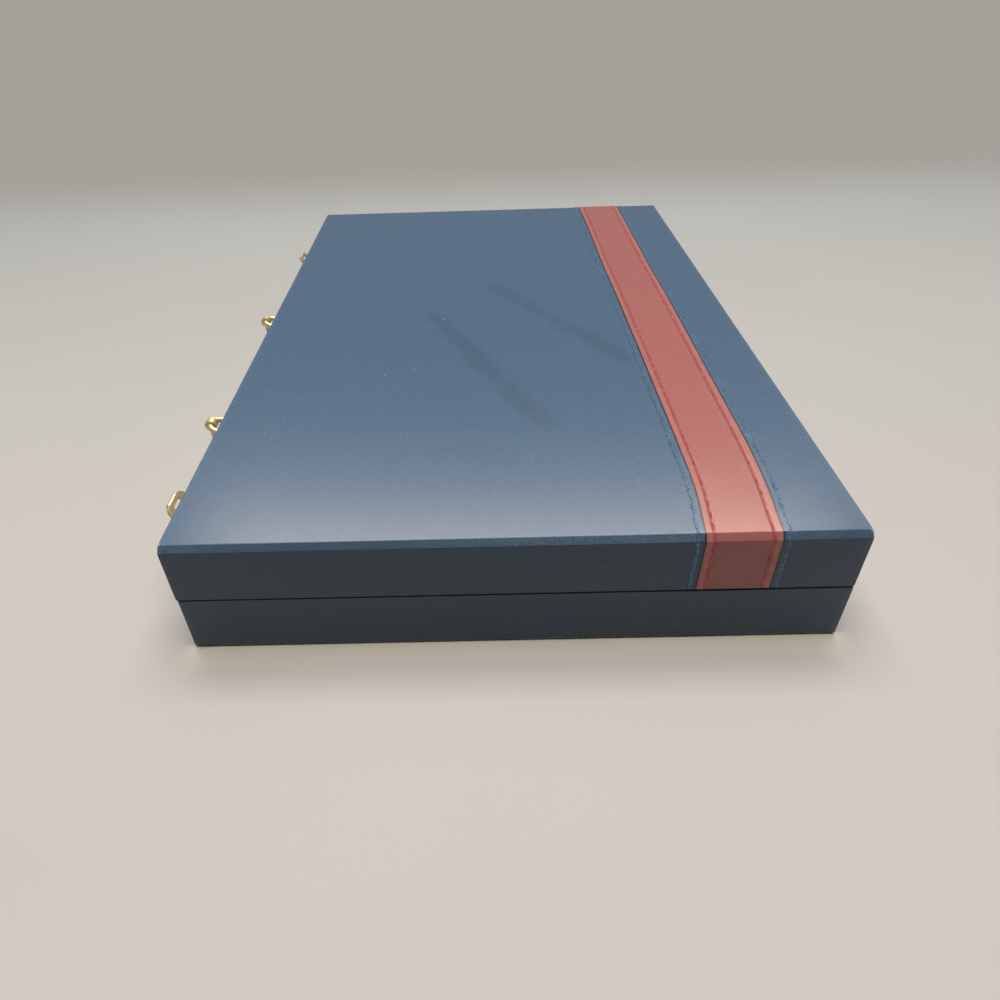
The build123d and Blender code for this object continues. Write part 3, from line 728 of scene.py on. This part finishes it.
def shell(name, node, rim_up):
    """The leatherette over one half: broken near and far edges, and a rim turned in over the wall."""
    sizes = settings().sizes
    low, high, _ = box(node)
    if rim_up:
        lid_low, lid_high, _ = box("lid_cover")
        low.y, high.y, high.x = lid_low.y, lid_high.y, lid_high.x
    rim, facing = (high.z, -1) if rim_up else (low.z, 1)
    piece = block(name, low, high)
    outer, on_rim = faces(2, 0.95, sign=facing), faces(2, 0.95, sign=-facing)
    slope = faces(2, 0.3, 0.9, facing)

    def side(face):
        return abs(face.normal.x) > 0.95

    def meets(first, second):
        return lambda e: len(e.link_faces) == 2 and any(map(first, e.link_faces)) and any(
            map(second, e.link_faces))

    corners = meets(side, lambda f: not side(f))
    with editing(piece):
        bevel(piece, sizes.foot_facet if rim_up else sizes.facet, 1,
              meets(outer, lambda f: abs(f.normal.y) > 0.95))
        bevel(piece, sizes.softening, 2, meets(slope, lambda f: not slope(f) and not side(f)))
        bevel(piece, sizes.corner, 3, lambda e: corners(e) and not any(map(on_rim, e.link_faces)))
        choose(piece, "FACE", on_rim)
        tray_low, tray_high, _ = box(node.replace("cover", "wall_lining"))
        lining = 0.5 * MM
        width, depth = ((tray_high[k] - tray_low[k] - 2 * lining) / (high[k] - low[k]) for k in (0, 1))
        bpy.ops.mesh.extrude_region_move()
        bpy.ops.transform.resize(value=(width, depth, 1), center_override=((low.x + high.x) / 2, 0, rim))
        bpy.ops.mesh.delete(type="FACE")
    if rim_up:
        with editing(piece):
            shift(piece, lambda v: v.co.z > rim - 0.1 * MM, (0, 0, -sizes.gape / 2))
            shift(piece, lambda v: v.co.z > rim - 2 * MM and v.co.x > 0, (0, 0, -sizes.gape / 2))
    modify(piece, "SOLIDIFY", thickness=sizes.skin, offset=-1, use_even_offset=True)
    if rim_up:
        sheet_low, sheet_high, _ = box("base_underside")
        edge = Vector(mm(0.2, 0.2, 0.5))
        cut(piece, block("opening", sheet_low - edge, sheet_high + edge))

    leaf_low, leaf_high, _ = box("base_hinge_leaves")
    axis = box("hinge_pins")[2]
    span, half_gap, barrel = mm(30, 1.05, 2.1)
    for centre in (span / 2 - leaf_high.y, leaf_high.y - span / 2):
        cut(piece, block("seat", (leaf_low.x, centre - span / 2, axis.z - half_gap),
                         (axis.x + 4 * MM, centre + span / 2, axis.z + half_gap)))
        cut(piece, rod("seat", (axis.x, centre, axis.z), barrel, span + 1.6 * MM, 40))
    return piece


def stripe_runs(lift):
    """The line that the stripe is sewn along, in straight runs: up the near face, over the lid and down."""
    low, high, _ = box("lid_cover")
    near, far, top = low.y - lift, high.y + lift, high.z + lift
    facet, foot = settings().sizes.facet, box("stripe_band")[0].z
    points = [Vector(point) for point in ((near, foot), (near, top - facet), (near + facet, top),
                                          (far - facet, top), (far, top - facet), (far, foot))]
    return list(zip(points, points[1:]))


def spot_along(runs, distance):
    """The place and slope at a distance along the runs."""
    for start, end in runs:
        run = end - start
        if distance <= run.length:
            break
        distance -= run.length
    return start + run * min(distance / run.length, 1.0), atan2(run.y, run.x)


def sewn_strip(name, node, lift, steps, thick, ragged=0.0):
    """A strip bent over the lid, from a block of which only three sides stay.

    steps are (distance from the edge, height change) across it; ragged is the fraying of its edges.
    """
    sizes = settings().sizes
    low, high, _ = box(node)
    rise, _, over, _, down = stripe_runs(lift)
    piece = block(name, (low.x, *rise[0]), (high.x, down[0].x, over[0].y))
    close = 0.02 * MM

    def inset(point):
        return min(point.co.x - low.x, high.x - point.co.x)

    def inner(edge):
        return len(edge.link_faces) == 2

    with editing(piece):
        choose(piece, "FACE", lambda f: f.normal.z < -0.9 or abs(f.normal.x) > 0.9)
        bpy.ops.mesh.delete(type="FACE")
        bevel(piece, sizes.facet, 1, inner)
        bevel(piece, sizes.softening, 2, inner)
        for step, _ in steps:
            for x in (low.x + step, high.x - step):
                bpy.ops.mesh.select_all(action="SELECT")
                bpy.ops.mesh.bisect(plane_co=(x, 0, 0), plane_no=(1, 0, 0))
        for step, height in steps:
            choose(piece, "VERT", lambda v: abs(inset(v) - step) < close)
            bpy.ops.transform.shrink_fatten(value=height)
        choose(piece, "VERT", lambda v: inset(v) > steps[-1][0] + close)
        bpy.ops.transform.shrink_fatten(value=steps[-1][1])
        over_lid, down_side = (330, 22) if ragged else (40, 4)
        for cuts, least, most in ((over_lid, 100 * MM, 1.0), (down_side, 10 * MM, 100 * MM)):
            choose(piece, "EDGE", lambda e: least < e.calc_length() < most
                   and abs((e.verts[0].co - e.verts[1].co).x) < 1 * MM)
            bpy.ops.mesh.subdivide(number_cuts=cuts)
        if ragged:
            choose(piece, "VERT", lambda v: inset(v) < close)
            bpy.ops.transform.vertex_random(offset=ragged, uniform=0.0, normal=0.0, seed=4)
    modify(piece, "SOLIDIFY", thickness=thick, offset=-1)
    return piece


def stitch_row(x, lift, seed, pitch, thick, lean=0.07, wander=0.1 * MM):
    """A row of stitches along the stripe: one thread loop, copied and laid along the line."""
    chance = random.Random(seed)
    loop = begin("uv_sphere", "stitch", segments=6, ring_count=5, radius=1)
    with editing(loop):
        shift(loop, lambda v: abs(v.co.y) > 0.8, (0, 0, -0.5))
    loop.scale = (thick, 0.46 * pitch, thick)
    settle(loop)
    places = []
    for start, end in stripe_runs(lift):
        run = end - start
        count = max(1, round(run.length / pitch))
        for index in range(count):
            spot = start + run * ((index + 0.5) / count)
            place = at(x + chance.uniform(-1, 1) * wander, *spot)
            aim = turn(atan2(run.y, run.x), "X") @ turn(chance.uniform(-lean, lean), "Z")
            fit = Matrix.Diagonal((1, run.length / count / pitch, 1, 1))
            places.append(place @ aim @ at(0, 0, -0.35 * thick) @ fit)
    return laid_out("row", loop, places)


def loose_fibres(name, x_low, x_high, seed):
    """Short frayed fibres that stick out beside the welt, from one tapered sliver."""
    sizes = settings().sizes
    chance = random.Random(seed)
    sliver = begin("cone", "sliver", vertices=4, radius1=0.09 * MM, radius2=0.04 * MM, depth=1.0,
                   location=(0, 0, 0.5))
    runs = stripe_runs(0)
    whole = sum((end - start).length for start, end in runs)
    places = []
    for x, side in ((x_low, -1), (x_high, 1)):
        for _ in range(sizes.fibres):
            spot, slope = spot_along(runs, chance.uniform(0.01, 0.99) * whole)
            lean = turn(side * chance.uniform(1.1, 1.55), "Y")
            swing = turn(chance.uniform(-1.2, 1.2), "Z")
            reach = Matrix.Diagonal((1, 1, sizes.fray * chance.uniform(0.25, 1.0) ** 1.5, 1))
            places.append(at(x - side * 0.15 * MM, *spot) @ turn(slope, "X") @ swing @ lean @ reach)
    return laid_out(name, sliver, places)


def stray(piece):
    """Bends a part of the stripe sideways, and notes how far its points lay from the middle."""
    low, high, middle = box("stripe_welt")
    note = piece.data.attributes.new("aside", "FLOAT", "POINT")
    note.data.foreach_set("value", [v.co.x - middle.x for v in piece.data.vertices])
    pick()
    bpy.ops.object.add(type="LATTICE", location=(middle.x, 0, middle.z))
    cage = bpy.context.object
    cage.scale = (high.x - low.x, high.y - low.y, 2 * (high.z - low.z))
    grid = cage.data
    grid.points_u, grid.points_v, grid.points_w = 2, len(STRAY), 2
    grid.interpolation_type_u = grid.interpolation_type_w = "KEY_LINEAR"
    grid.interpolation_type_v = "KEY_CATMULL_ROM"
    for index, point in enumerate(grid.points):
        point.co_deform.x += STRAY[index // 2 % len(STRAY)][index % 2] * MM / (high.x - low.x)
    modify(piece, "LATTICE", object=cage)
    bpy.data.objects.remove(cage)
    return piece


class Maker:
    """What every step of the build shares."""
    bl_options = {"REGISTER", "UNDO"}


class CASE_OT_finishes(Maker, bpy.types.Operator):
    """Make the finishes, and give them to the parts that keep their plain shape"""
    bl_idname = "travel_case.finishes"
    bl_label = "Finishes"

    def execute(self, context):
        make_materials()
        plain = {"underside": "base_blue", "frame": "wood", "panel": "board", "wall_lining": "blue_flock",
                 "trough_pad": "blue_flock", "field": "cream_vinyl", "dark_points": "navy_vinyl",
                 "light_points": "wine_vinyl"}
        for node, thing in frame["nodes"].items():
            half, _, part = node.partition("_")
            finish = plain.get(part, "brass") if half in ("base", "lid") else "brass"
            cover(thing, finish)
        return {"FINISHED"}


class CASE_OT_covers(Maker, bpy.types.Operator):
    """Make the leatherette covers of the lid and the base"""
    bl_idname = "travel_case.covers"
    bl_label = "Covers"

    def execute(self, context):
        for body in ("lid", "base"):
            piece = shell(f"{body}_leatherette", f"{body}_cover", body == "base")
            done(piece, body, "blue_leatherette", f"{body}_blue", f"{body}_cover")
        return {"FINISHED"}


class CASE_OT_stripe(Maker, bpy.types.Operator):
    """Make the red stripe and the blue welt under it, with their stitches and loose fibres"""
    bl_idname = "travel_case.stripe"
    bl_label = "Stripe"

    def execute(self, context):
        sizes = settings().sizes
        welt_low, welt_high, _ = box("stripe_welt")
        band_low, band_high, _ = box("stripe_band")
        welt_lift, band_lift = mm(0.15, 0.3)

        welt = sewn_strip("stripe_blue_welt", "stripe_welt", welt_lift, [mm(1.2, 0)], 0.4 * MM, sizes.ragged)
        done(stray(welt), "lid", "blue_leatherette", "welt_blue", "stripe_welt")
        hem = [mm(0.12, 0), mm(1.5, 0), mm(1.9, -0.1), mm(2.5, -0.1), mm(2.9, -0.05)]
        band = sewn_strip("stripe_red_band", "stripe_band", band_lift, hem, 0.5 * MM)
        soften(band, 0.1 * MM, 2, 60)
        done(stray(band), "lid", "red_leatherette", "stripe_red", "stripe_band")

        rows = [stitch_row(x, band_lift - 0.1 * MM, 3 + index, sizes.stitch_pitch, sizes.thread)
                for index, x in enumerate((band_low.x + 2.2 * MM, band_high.x - 2.2 * MM))]
        done(stray(join("stripe_red_stitches", rows)), "lid", "red_leatherette", "red_thread")
        rows = [stitch_row(x, welt_lift, 7 + index, sizes.zigzag, 0.26 * MM, 1.0, 0.25 * MM)
                for index, x in enumerate((welt_low.x + 0.3 * MM, welt_high.x - 0.3 * MM))]
        done(stray(join("stripe_blue_stitches", rows)), "lid", "blue_leatherette", "blue_thread")
        fibres = loose_fibres("stripe_fibres", welt_low.x, welt_high.x, 21)
        done(stray(fibres), "lid", "blue_leatherette", "blue_thread")
        return {"FINISHED"}


def screws(name, node, body, facing, seed, head=1.4 * MM, height=0.6 * MM, shank=3.5 * MM):
    """Slotted screws where a CAD part has them. facing is +Z, -Z or -X."""
    chance = random.Random(seed)
    crown = [(1, 0), (1, 0.35), (0.92, 0.62), (0.72, 0.86), (0.4, 0.97)]
    model = turned("screw", [(0.5 * MM, -shank), (0.7 * MM, -shank + 0.6 * MM), (0.7 * MM, 0),
                             *((r * head, h * height) for r, h in crown)], 28)
    cut(model, block("slot", (-2 * MM, -0.17 * MM, 0.45 * height), (2 * MM, 0.17 * MM, 2 * height)))
    places = []
    for low, high in along_y(node):
        x, y, z = (low + high) / 2
        seat = {"-X": at(low.x + height, y, z) @ turn(-pi / 2, "Y"),
                "+Z": at(x, y, low.z - height * 0.5) @ turn(pi, "X"),
                "-Z": at(x, y, high.z + height * 0.5)}[facing]
        places.append(seat @ turn(chance.uniform(0, pi), "Z"))
    brass(laid_out(name, model, places), body, node)


def hasp(end):
    """A windowed latch arm with its knuckle and rolled lip, standing sprung open."""
    arm = rounded_block("arm", mm(-0.5, -6, 2.6), mm(0.5, 6, 14), 2.7 * MM, 5)
    cut(arm, rounded_block("window", mm(-2, -2.7, 8.4), mm(2, 2.7, 12.6), 0.8 * MM))
    neck = block("neck", mm(-0.5, -3.5, 0), mm(0.5, 3.5, 4))
    knuckle = rod("knuckle", (0, 0, 0), 1.6 * MM, 7 * MM)
    lip = rod("lip", mm(-0.45, 0, 13.55), 0.9 * MM, 6 * MM, 16)
    piece = join(f"hasp_{end}", [arm, neck, knuckle, lip])
    soften(piece, 0.16 * MM)
    settle(piece, joint_place(f"hasp_{end}_hinge"), (0, -HASP_REST, 0))
    return piece


class CASE_OT_latches(Maker, bpy.types.Operator):
    """Make the two spring latches: plates, hasps, buttons, keepers and their screws"""
    bl_idname = "travel_case.latches"
    bl_label = "Latches"

    def execute(self, context):
        for end in ("near", "far"):
            brass(hasp(end), f"hasp_{end}", f"latch_hasp_{end}")
            fitting(f"latch_plate_{end}", f"latch_base_{end}", "base")
            button = dressed(f"latch_button_{end}", f"slide_button_{end}", 0.1 * MM)
            low, high, middle = box(f"latch_button_{end}")
            half, pitch, end_gap = mm(0.16, 0.8, 0.7)
            ribs = []
            for y in (middle.y - pitch, middle.y, middle.y + pitch):
                rib = block("rib", (low.x - 0.14 * MM, y - half, low.z + end_gap),
                            (low.x + 0.38 * MM, y + half, high.z - end_gap))
                soften(rib, 0.08 * MM, 1)
                ribs.append(rib)
            brass(join(f"slide_button_{end}", [button, *ribs]), f"button_{end}", f"latch_button_{end}")
        fitting("latch_pins", "hasp_pins", "base", 0.15 * MM)
        fitting("latch_keepers", "keepers", "lid", 0.15 * MM)
        screws("latch_plate_screws", "latch_screws", "base", "-X", 5)
        screws("keeper_plate_screws", "keeper_screws", "lid", "-X", 6)
        return {"FINISHED"}


class CASE_OT_handle(Maker, bpy.types.Operator):
    """Make the handle: plates, bent wire rings, ferrules and the covered grip"""
    bl_idname = "travel_case.handle"
    bl_label = "Handle"

    def execute(self, context):
        apex = joint_place("grip_hinge")
        half_foot, half_tip = Vector(mm(0, 7.5, 0)), Vector(mm(0, 3.3, 0))
        bend, thick = mm(3, 1.2)
        for end in ("near", "far"):
            pivot = joint_place(f"ring_{end}_hinge")
            tip = Vector((apex.x, pivot.y, apex.z))
            line = bent([pivot - half_foot, pivot + half_foot, tip + half_tip, tip - half_tip], bend)
            brass(wire_ring(f"ring_{end}", line, thick), f"ring_{end}", f"handle_ring_{end}", angle=60)
            fitting(f"handle_plate_{end}", f"handle_base_{end}", "base")
            fitting(f"handle_ferrule_{end}", f"grip_ferrule_{end}", "grip")
        screws("handle_plate_screws", "handle_screws", "base", "-X", 8)

        low, high, middle = box("handle_grip")
        shoulder, end_radius, radius = high.y - 4 * MM, 3.5 * MM, (high.z - low.z) / 2

        def girth(along):
            return end_radius + (radius - end_radius) * (1 - along * along)

        neck, stations = 3.2 * MM, 24
        steps = [(neck, -high.y), (neck, -shoulder)]
        for step in range(stations + 1):
            along = 2 * step / stations - 1
            steps.append((girth(along), along * shoulder))
        grip = turned("grip", steps + [(neck, shoulder), (neck, high.y)], 40)
        settle(grip, (middle.x, 0, middle.z), (pi / 2, 0, 0))
        done(grip, "grip", "grip_leather", "grip_blue", "handle_grip")

        places = []
        for index in range(stations):
            along = (2 * index + 1) / stations - 1
            aim = Vector((-1, 0, -1)).normalized() * (girth(along) + 0.02 * MM)
            places.append(at(middle.x + aim.x, along * shoulder, middle.z + aim.z))
        seam = laid_out("grip_seam", thread_loop(1.3 * MM, 0.2 * MM), places)
        done(seam, "grip", "grip_leather", "blue_thread")
        return {"FINISHED"}


class CASE_OT_hinges(Maker, bpy.types.Operator):
    """Make the two butt hinges with their pins and screws"""
    bl_idname = "travel_case.hinges"
    bl_label = "Hinges"

    def execute(self, context):
        fitting("base_hinge_leaves", "hinge_leaves_low", "base")
        fitting("lid_hinge_leaves", "hinge_leaves_up", "lid")
        fitting("hinge_pins", "hinge_rods", "base", 0.2 * MM)
        screws("hinge_screws_low", "base_hinge_screws", "base", "-Z", 9, *mm(1.3, 0.2, 4.5))
        screws("hinge_screws_up", "lid_hinge_screws", "lid", "+Z", 10, *mm(1.3, 0.2, 4.5))
        return {"FINISHED"}


def trough_axis():
    return box("base_trough_pad")[2].x


class CASE_OT_checkers(Maker, bpy.types.Operator):
    """Make both stacks of checkers, each with a dished middle and a turned ring"""
    bl_idname = "travel_case.checkers"
    bl_label = "Checkers"

    def execute(self, context):
        half = [(2.0, 0.55), (6.2, 0.5), (6.7, 0.3), (6.95, 0.05), (7.2, 0.0), (8.5, 0.0), (8.75, 0.22),
                (9.05, 0.22), (9.3, 0.0), (10.15, 0.0), (10.6, 0.14), (10.88, 0.42), (11.0, 0.8)]
        thick, gap, count = 5.0, 0.1 * MM, 15
        disc = turned("disc", [mm(*step) for step in half + [(r, thick - h) for r, h in reversed(half)]])
        for node, name, finish, slot in (
                ("dark_checkers", "dark_stack", "ruby_plastic", "red_checker"),
                ("light_checkers", "light_stack", "ivory_plastic", "ivory_checker")):
            low, high, middle = box(node)
            pitch = (high.y - low.y + gap) / count
            chance = random.Random(name)
            places = [at(trough_axis(), low.y + index * pitch, middle.z) @ turn(-pi / 2, "X")
                      @ turn(chance.uniform(0, tau), "Z") for index in range(count)]
            done(laid_out(name, twin(disc, "disc"), places), "base", slot, finish, node)
        bpy.data.objects.remove(disc)
        return {"FINISHED"}


class CASE_OT_cups(Maker, bpy.types.Operator):
    """Make the two dice cups with rolled rims, a sewn seam and a lined inside"""
    bl_idname = "travel_case.cups"
    bl_label = "Dice cups"

    def execute(self, context):
        low, _, middle = box("dice_cup_near")
        steps = [(9.4, 0.7), (9.7, 0.1), (10.0, 0.0), (10.5, 0.0), (10.8, 0.25), (10.85, 0.9), (11.95, 34.6),
                 (12.0, 35.0), (12.35, 35.1), (12.5, 35.4), (12.5, 37.4), (12.35, 37.8), (12.0, 38.0),
                 (11.3, 38.0), (10.95, 37.8), (10.8, 37.2), (10.7, 35.5), (9.6, 2.2), (9.2, 1.5)]
        cup = turned("cup_near", [mm(*step) for step in steps], 56)
        foot = (trough_axis(), low.y, middle.z)
        settle(cup, foot, (-pi / 2, 0, 0))
        foot_radius, rise, flare, first, pitch = mm(10.85, 33.7, 1.1, 3.4, 3.6)
        places = []
        for side in (-1, 1):
            for index in range(9):
                along = first + index * pitch
                seat = at(0, along, foot_radius + along * flare / rise) @ turn(atan2(flare, rise), "X")
                places.append(at(*foot) @ turn(side * 0.16, "Y") @ seat)
        seam = laid_out("cup_seam_near", thread_loop(1.5 * MM, 0.22 * MM), places)

        def inside(face):
            off = Vector((face.center.x - foot[0], face.center.z - foot[2]))
            wall, floor, floor_start, floor_end = mm(10.9, 9.5, 15.2, 52.2)
            return (off.length < wall and face.normal.xz.dot(off) < 0.0) or (
                off.length < floor and floor_start < abs(face.center.y) < floor_end)

        across = Matrix.Scale(-1, 4, (0, 1, 0))
        for end, piece, thread in (("near", cup, seam), ("far", twin(cup, "cup_far", across),
                                                         twin(seam, "cup_seam_far", across))):
            done(piece, "base", "cup_leather", "cup_blue", f"dice_cup_{end}")
            paint(piece, "blue_flock", inside)
            done(thread, "base", "cup_leather", "blue_thread")
        return {"FINISHED"}


PIPS = {1: [(0, 0)], 2: [(-1, -1), (1, 1)], 3: [(-1, -1), (0, 0), (1, 1)],
        4: [(-1, -1), (-1, 1), (1, -1), (1, 1)], 5: [(-1, -1), (-1, 1), (0, 0), (1, -1), (1, 1)],
        6: [(-1, -1), (-1, 0), (-1, 1), (1, -1), (1, 0), (1, 1)]}
SIDES = {1: Matrix(), 6: turn(pi, "X"), 2: turn(pi / 2, "X"), 5: turn(-pi / 2, "X"), 3: turn(pi / 2, "Y"),
         4: turn(-pi / 2, "Y")}


def rounded_cube(name, side, corner):
    piece = block(name, (-side / 2,) * 3, (side / 2,) * 3)
    soften(piece, corner, 5)
    return piece


class CASE_OT_dice(Maker, bpy.types.Operator):
    """Make the four dice with sunk pips, and the doubling cube with its numbers"""
    bl_idname = "travel_case.dice"
    bl_label = "Dice and doubling cube"

    def execute(self, context):
        chance = random.Random(12)
        for node, name, body_finish, pip_finish, slot in (
                ("light_dice", "ivory_pair", "ivory_plastic", "ruby_plastic", "ivory_dice"),
                ("dark_dice", "ruby_pair", "ruby_plastic", "ivory_plastic", "red_dice")):
            low, high, middle = box(node)
            side = high.z - low.z
            die = rounded_cube("die", side, 1.2 * MM)
            cover(die, body_finish)
            radius, lift, pitch = 0.8 * MM, side / 2 + 0.42 * MM, 0.25 * side
            pip = begin("uv_sphere", "pip", segments=16, ring_count=8, radius=radius)
            pips = laid_out("pips", pip, [SIDES[value] @ at(x * pitch, y * pitch, lift)
                                          for value, spots in PIPS.items() for x, y in spots])
            cover(pips, pip_finish)
            cut(die, pips, material_mode="TRANSFER")
            places = []
            for x in (low.x + side / 2, high.x - side / 2):
                roll = SIDES[chance.choice((2, 3, 4, 5, 6))] @ turn(chance.choice((0, 1, 2, 3)) * pi / 2, "Z")
                places.append(at(x, middle.y, middle.z) @ roll)
            done(laid_out(name, die, places), "base", slot, None, node)

        low, high, centre = box("doubling_cube")
        side = high.z - low.z
        cube = rounded_cube("doubling_die", side, 1.6 * MM)
        cube.data.transform(at(*centre))
        done(cube, "base", "ivory_dice", "ivory_plastic", "doubling_cube")
        numbers = []
        for value, number in zip((1, 6, 2, 5, 3, 4), ("64", "2", "4", "8", "16", "32")):
            pick()
            bpy.ops.object.text_add()
            words = bpy.context.object.data
            words.body = number
            words.align_x = words.align_y = "CENTER"
            words.size = 0.62 * side
            words.extrude = 0.06 * MM
            bpy.ops.object.convert(target="MESH")
            numbers.append(bpy.context.object)
            numbers[-1].data.transform(at(*centre) @ SIDES[value] @ at(0, 0, side / 2 - 0.02 * MM))
        done(join("doubling_numbers", numbers), "base", "ivory_dice", "navy_vinyl")
        return {"FINISHED"}


class CASE_OT_linings(Maker, bpy.types.Operator):
    """Soften the covered rails and the blocks in the trough"""
    bl_idname = "travel_case.linings"
    bl_label = "Rails and blocks"

    def execute(self, context):
        for node, name, body in (("base_trough_rail", "rail_low", "base"),
                                 ("lid_trough_rail", "rail_up", "lid"),
                                 ("trough_partitions", "trough_blocks", "base")):
            done(dressed(node, name, 0.4 * MM, 3), body, "blue_leatherette", f"{body}_blue", node)
        return {"FINISHED"}


# ---- the stage

def make_floor(given):
    """A pale floor that turns into a plain wall far behind the case. It is painted darker behind the case, as
    shade, and lighter under the case's front edge, as light.
    """
    floor = begin("plane", "floor", size=8, location=(0, 0, 0))
    shader, place = new_material("paper", 0.75, Specular_IOR_Level=0.2)
    across, along, _ = place.parts()
    # Painted shade: the floor darkens behind the case.
    tone = mix(along.rise(-0.22, 0.3), rgba(given.near_floor), rgba(given.mid_floor))
    tone = mix(place.noise(7, 4).rise(0.3, 0.7, 0, 0.06), tone, (0.3, 0.28, 0.25, 1.0))
    # A painted pool of light on the floor under the case's front edge, which lightens the shadow there.
    low, high, _ = box("base_cover")
    beside = across.rise(low.x - 6 * MM, low.x + 4 * MM) * across.fall(high.x - 4 * MM, high.x + 6 * MM)
    strip = along.rise(low.y - 11 * MM, low.y) * along.fall(low.y, low.y + 1 * MM)
    tone = mix(strip * beside, tone, (0.86, 0.77, 0.62, 1.0))
    dress(shader, tone, None, place.noise(1800, 4), 0.05 * MM, 0.4)

    tree = place.tree
    # The wall begins 22 to 42 cm behind the case's middle, and 55 to 90 cm off on the other sides.
    far = along.rise(0.22, 0.42).most(place.number("LENGTH").rise(0.55, 0.9))
    rays = add(tree, "ShaderNodeLightPath")
    seen = rays["Is Camera Ray"].most(rays["Is Glossy Ray"]).most(rays["Is Transmission Ray"])
    paper = Value(tree, tree.nodes["Principled BSDF"].outputs[0])
    wall = add(tree, "ShaderNodeEmission", {"Color": rgba(given.far_floor), "Strength": 1.0})
    blend = add(tree, "ShaderNodeMixShader", (far * seen, paper, wall))
    feed(tree, tree.nodes["Material Output"].inputs[0], blend)
    cover(floor, "paper")


def make_world(given):
    """Even light, with its own brightness for the camera and for reflections."""
    world = bpy.data.worlds.new("daylight")
    bpy.context.scene.world = world
    world.use_nodes = True
    background = world.node_tree.nodes["Background"].inputs
    background["Color"].default_value = (1.0, 0.985, 0.965, 1.0)
    rays = add(world.node_tree, "ShaderNodeLightPath")
    strength = rays["Is Glossy Ray"].math("MULTIPLY_ADD", given.mirrored, given.daylight)
    feed(world.node_tree, background["Strength"],
         rays["Is Camera Ray"].math("MULTIPLY_ADD", given.horizon, strength))


def make_lamp(name, place, target, width, depth, power, tint=(1.0, 1.0, 1.0)):
    """A rectangular lamp aimed at a target. The camera doesn't see it."""
    light = bpy.data.lights.new(name, "AREA")
    light.shape = "RECTANGLE"
    light.size, light.size_y = width, depth
    light.energy = power
    light.color = tint
    lamp = bpy.data.objects.new(name, light)
    bpy.context.scene.collection.objects.link(lamp)
    lamp.location = place
    lamp.rotation_euler = (Vector(target) - Vector(place)).to_track_quat("-Z", "Y").to_euler()
    lamp.visible_camera = False
    return lamp


class CASE_OT_stage(Maker, bpy.types.Operator):
    """Make the floor, the lamps and the camera"""
    bl_idname = "travel_case.stage"
    bl_label = "Stage"

    def execute(self, context):
        given = settings().stage
        scene = bpy.context.scene
        scene.view_settings.view_transform = "Standard"
        make_floor(given)
        make_world(given)
        make_lamp("overhead", (0, 0.08, 1.6), (0, 0, 0), 1.3, 1.3, given.lamp)
        window = make_lamp("window", (0.03, 0.48, 0.767), (0.006, -0.13, 0.039), 1.0, 0.28, given.window,
                           (1.0, 0.88, 0.75))
        window.visible_diffuse = False

        camera = bpy.data.cameras.new("camera")
        camera.sensor_width = 36
        camera.lens = 25.55
        camera.shift_x, camera.shift_y = 0.0262, -0.0201
        camera.clip_start, camera.clip_end = 0.01, 20
        view = bpy.data.objects.new("camera", camera)
        scene.collection.objects.link(view)
        right = Vector((0.99961245, -0.0031154, -0.02766301))
        down = Vector((-0.02385945, -0.60781896, -0.7937171))
        ahead = Vector((-0.01434135, 0.79406952, -0.60765773))
        view.matrix_world = at(-0.00714, -0.27586, 0.16281) @ Matrix(
            (right, -down, -ahead)).transposed().to_4x4()
        scene.camera = view
        return {"FINISHED"}


# ---- add-on

STEPS = (CASE_OT_finishes, CASE_OT_stage, CASE_OT_covers, CASE_OT_stripe, CASE_OT_latches, CASE_OT_handle,
         CASE_OT_hinges, CASE_OT_linings, CASE_OT_checkers, CASE_OT_cups, CASE_OT_dice)


class CASE_PT_panel(bpy.types.Panel):
    bl_label = "Travel backgammon case"
    bl_idname = "CASE_PT_panel"
    bl_space_type = "VIEW_3D"
    bl_region_type = "UI"
    bl_category = "Backgammon"

    def draw(self, context):
        for group in (settings().sizes, settings().colours, settings().stage):
            for key in group.bl_rna.properties.keys():
                if key not in ("rna_type", "name"):
                    self.layout.prop(group, key)
        for step in STEPS:
            self.layout.operator(step.bl_idname)


CLASSES = (CaseSizes, CaseColours, StageSettings, CaseSettings, *STEPS, CASE_PT_panel)


def register():
    for made in CLASSES:
        bpy.utils.register_class(made)
    bpy.types.Scene.travel_case = PointerProperty(type=CaseSettings)


def unregister():
    del bpy.types.Scene.travel_case
    for made in reversed(CLASSES):
        bpy.utils.unregister_class(made)


def main():
    register()
    for step in STEPS:
        family, name = step.bl_idname.split(".")
        getattr(getattr(bpy.ops, family), name)()


if __name__ == "__main__":
    main()
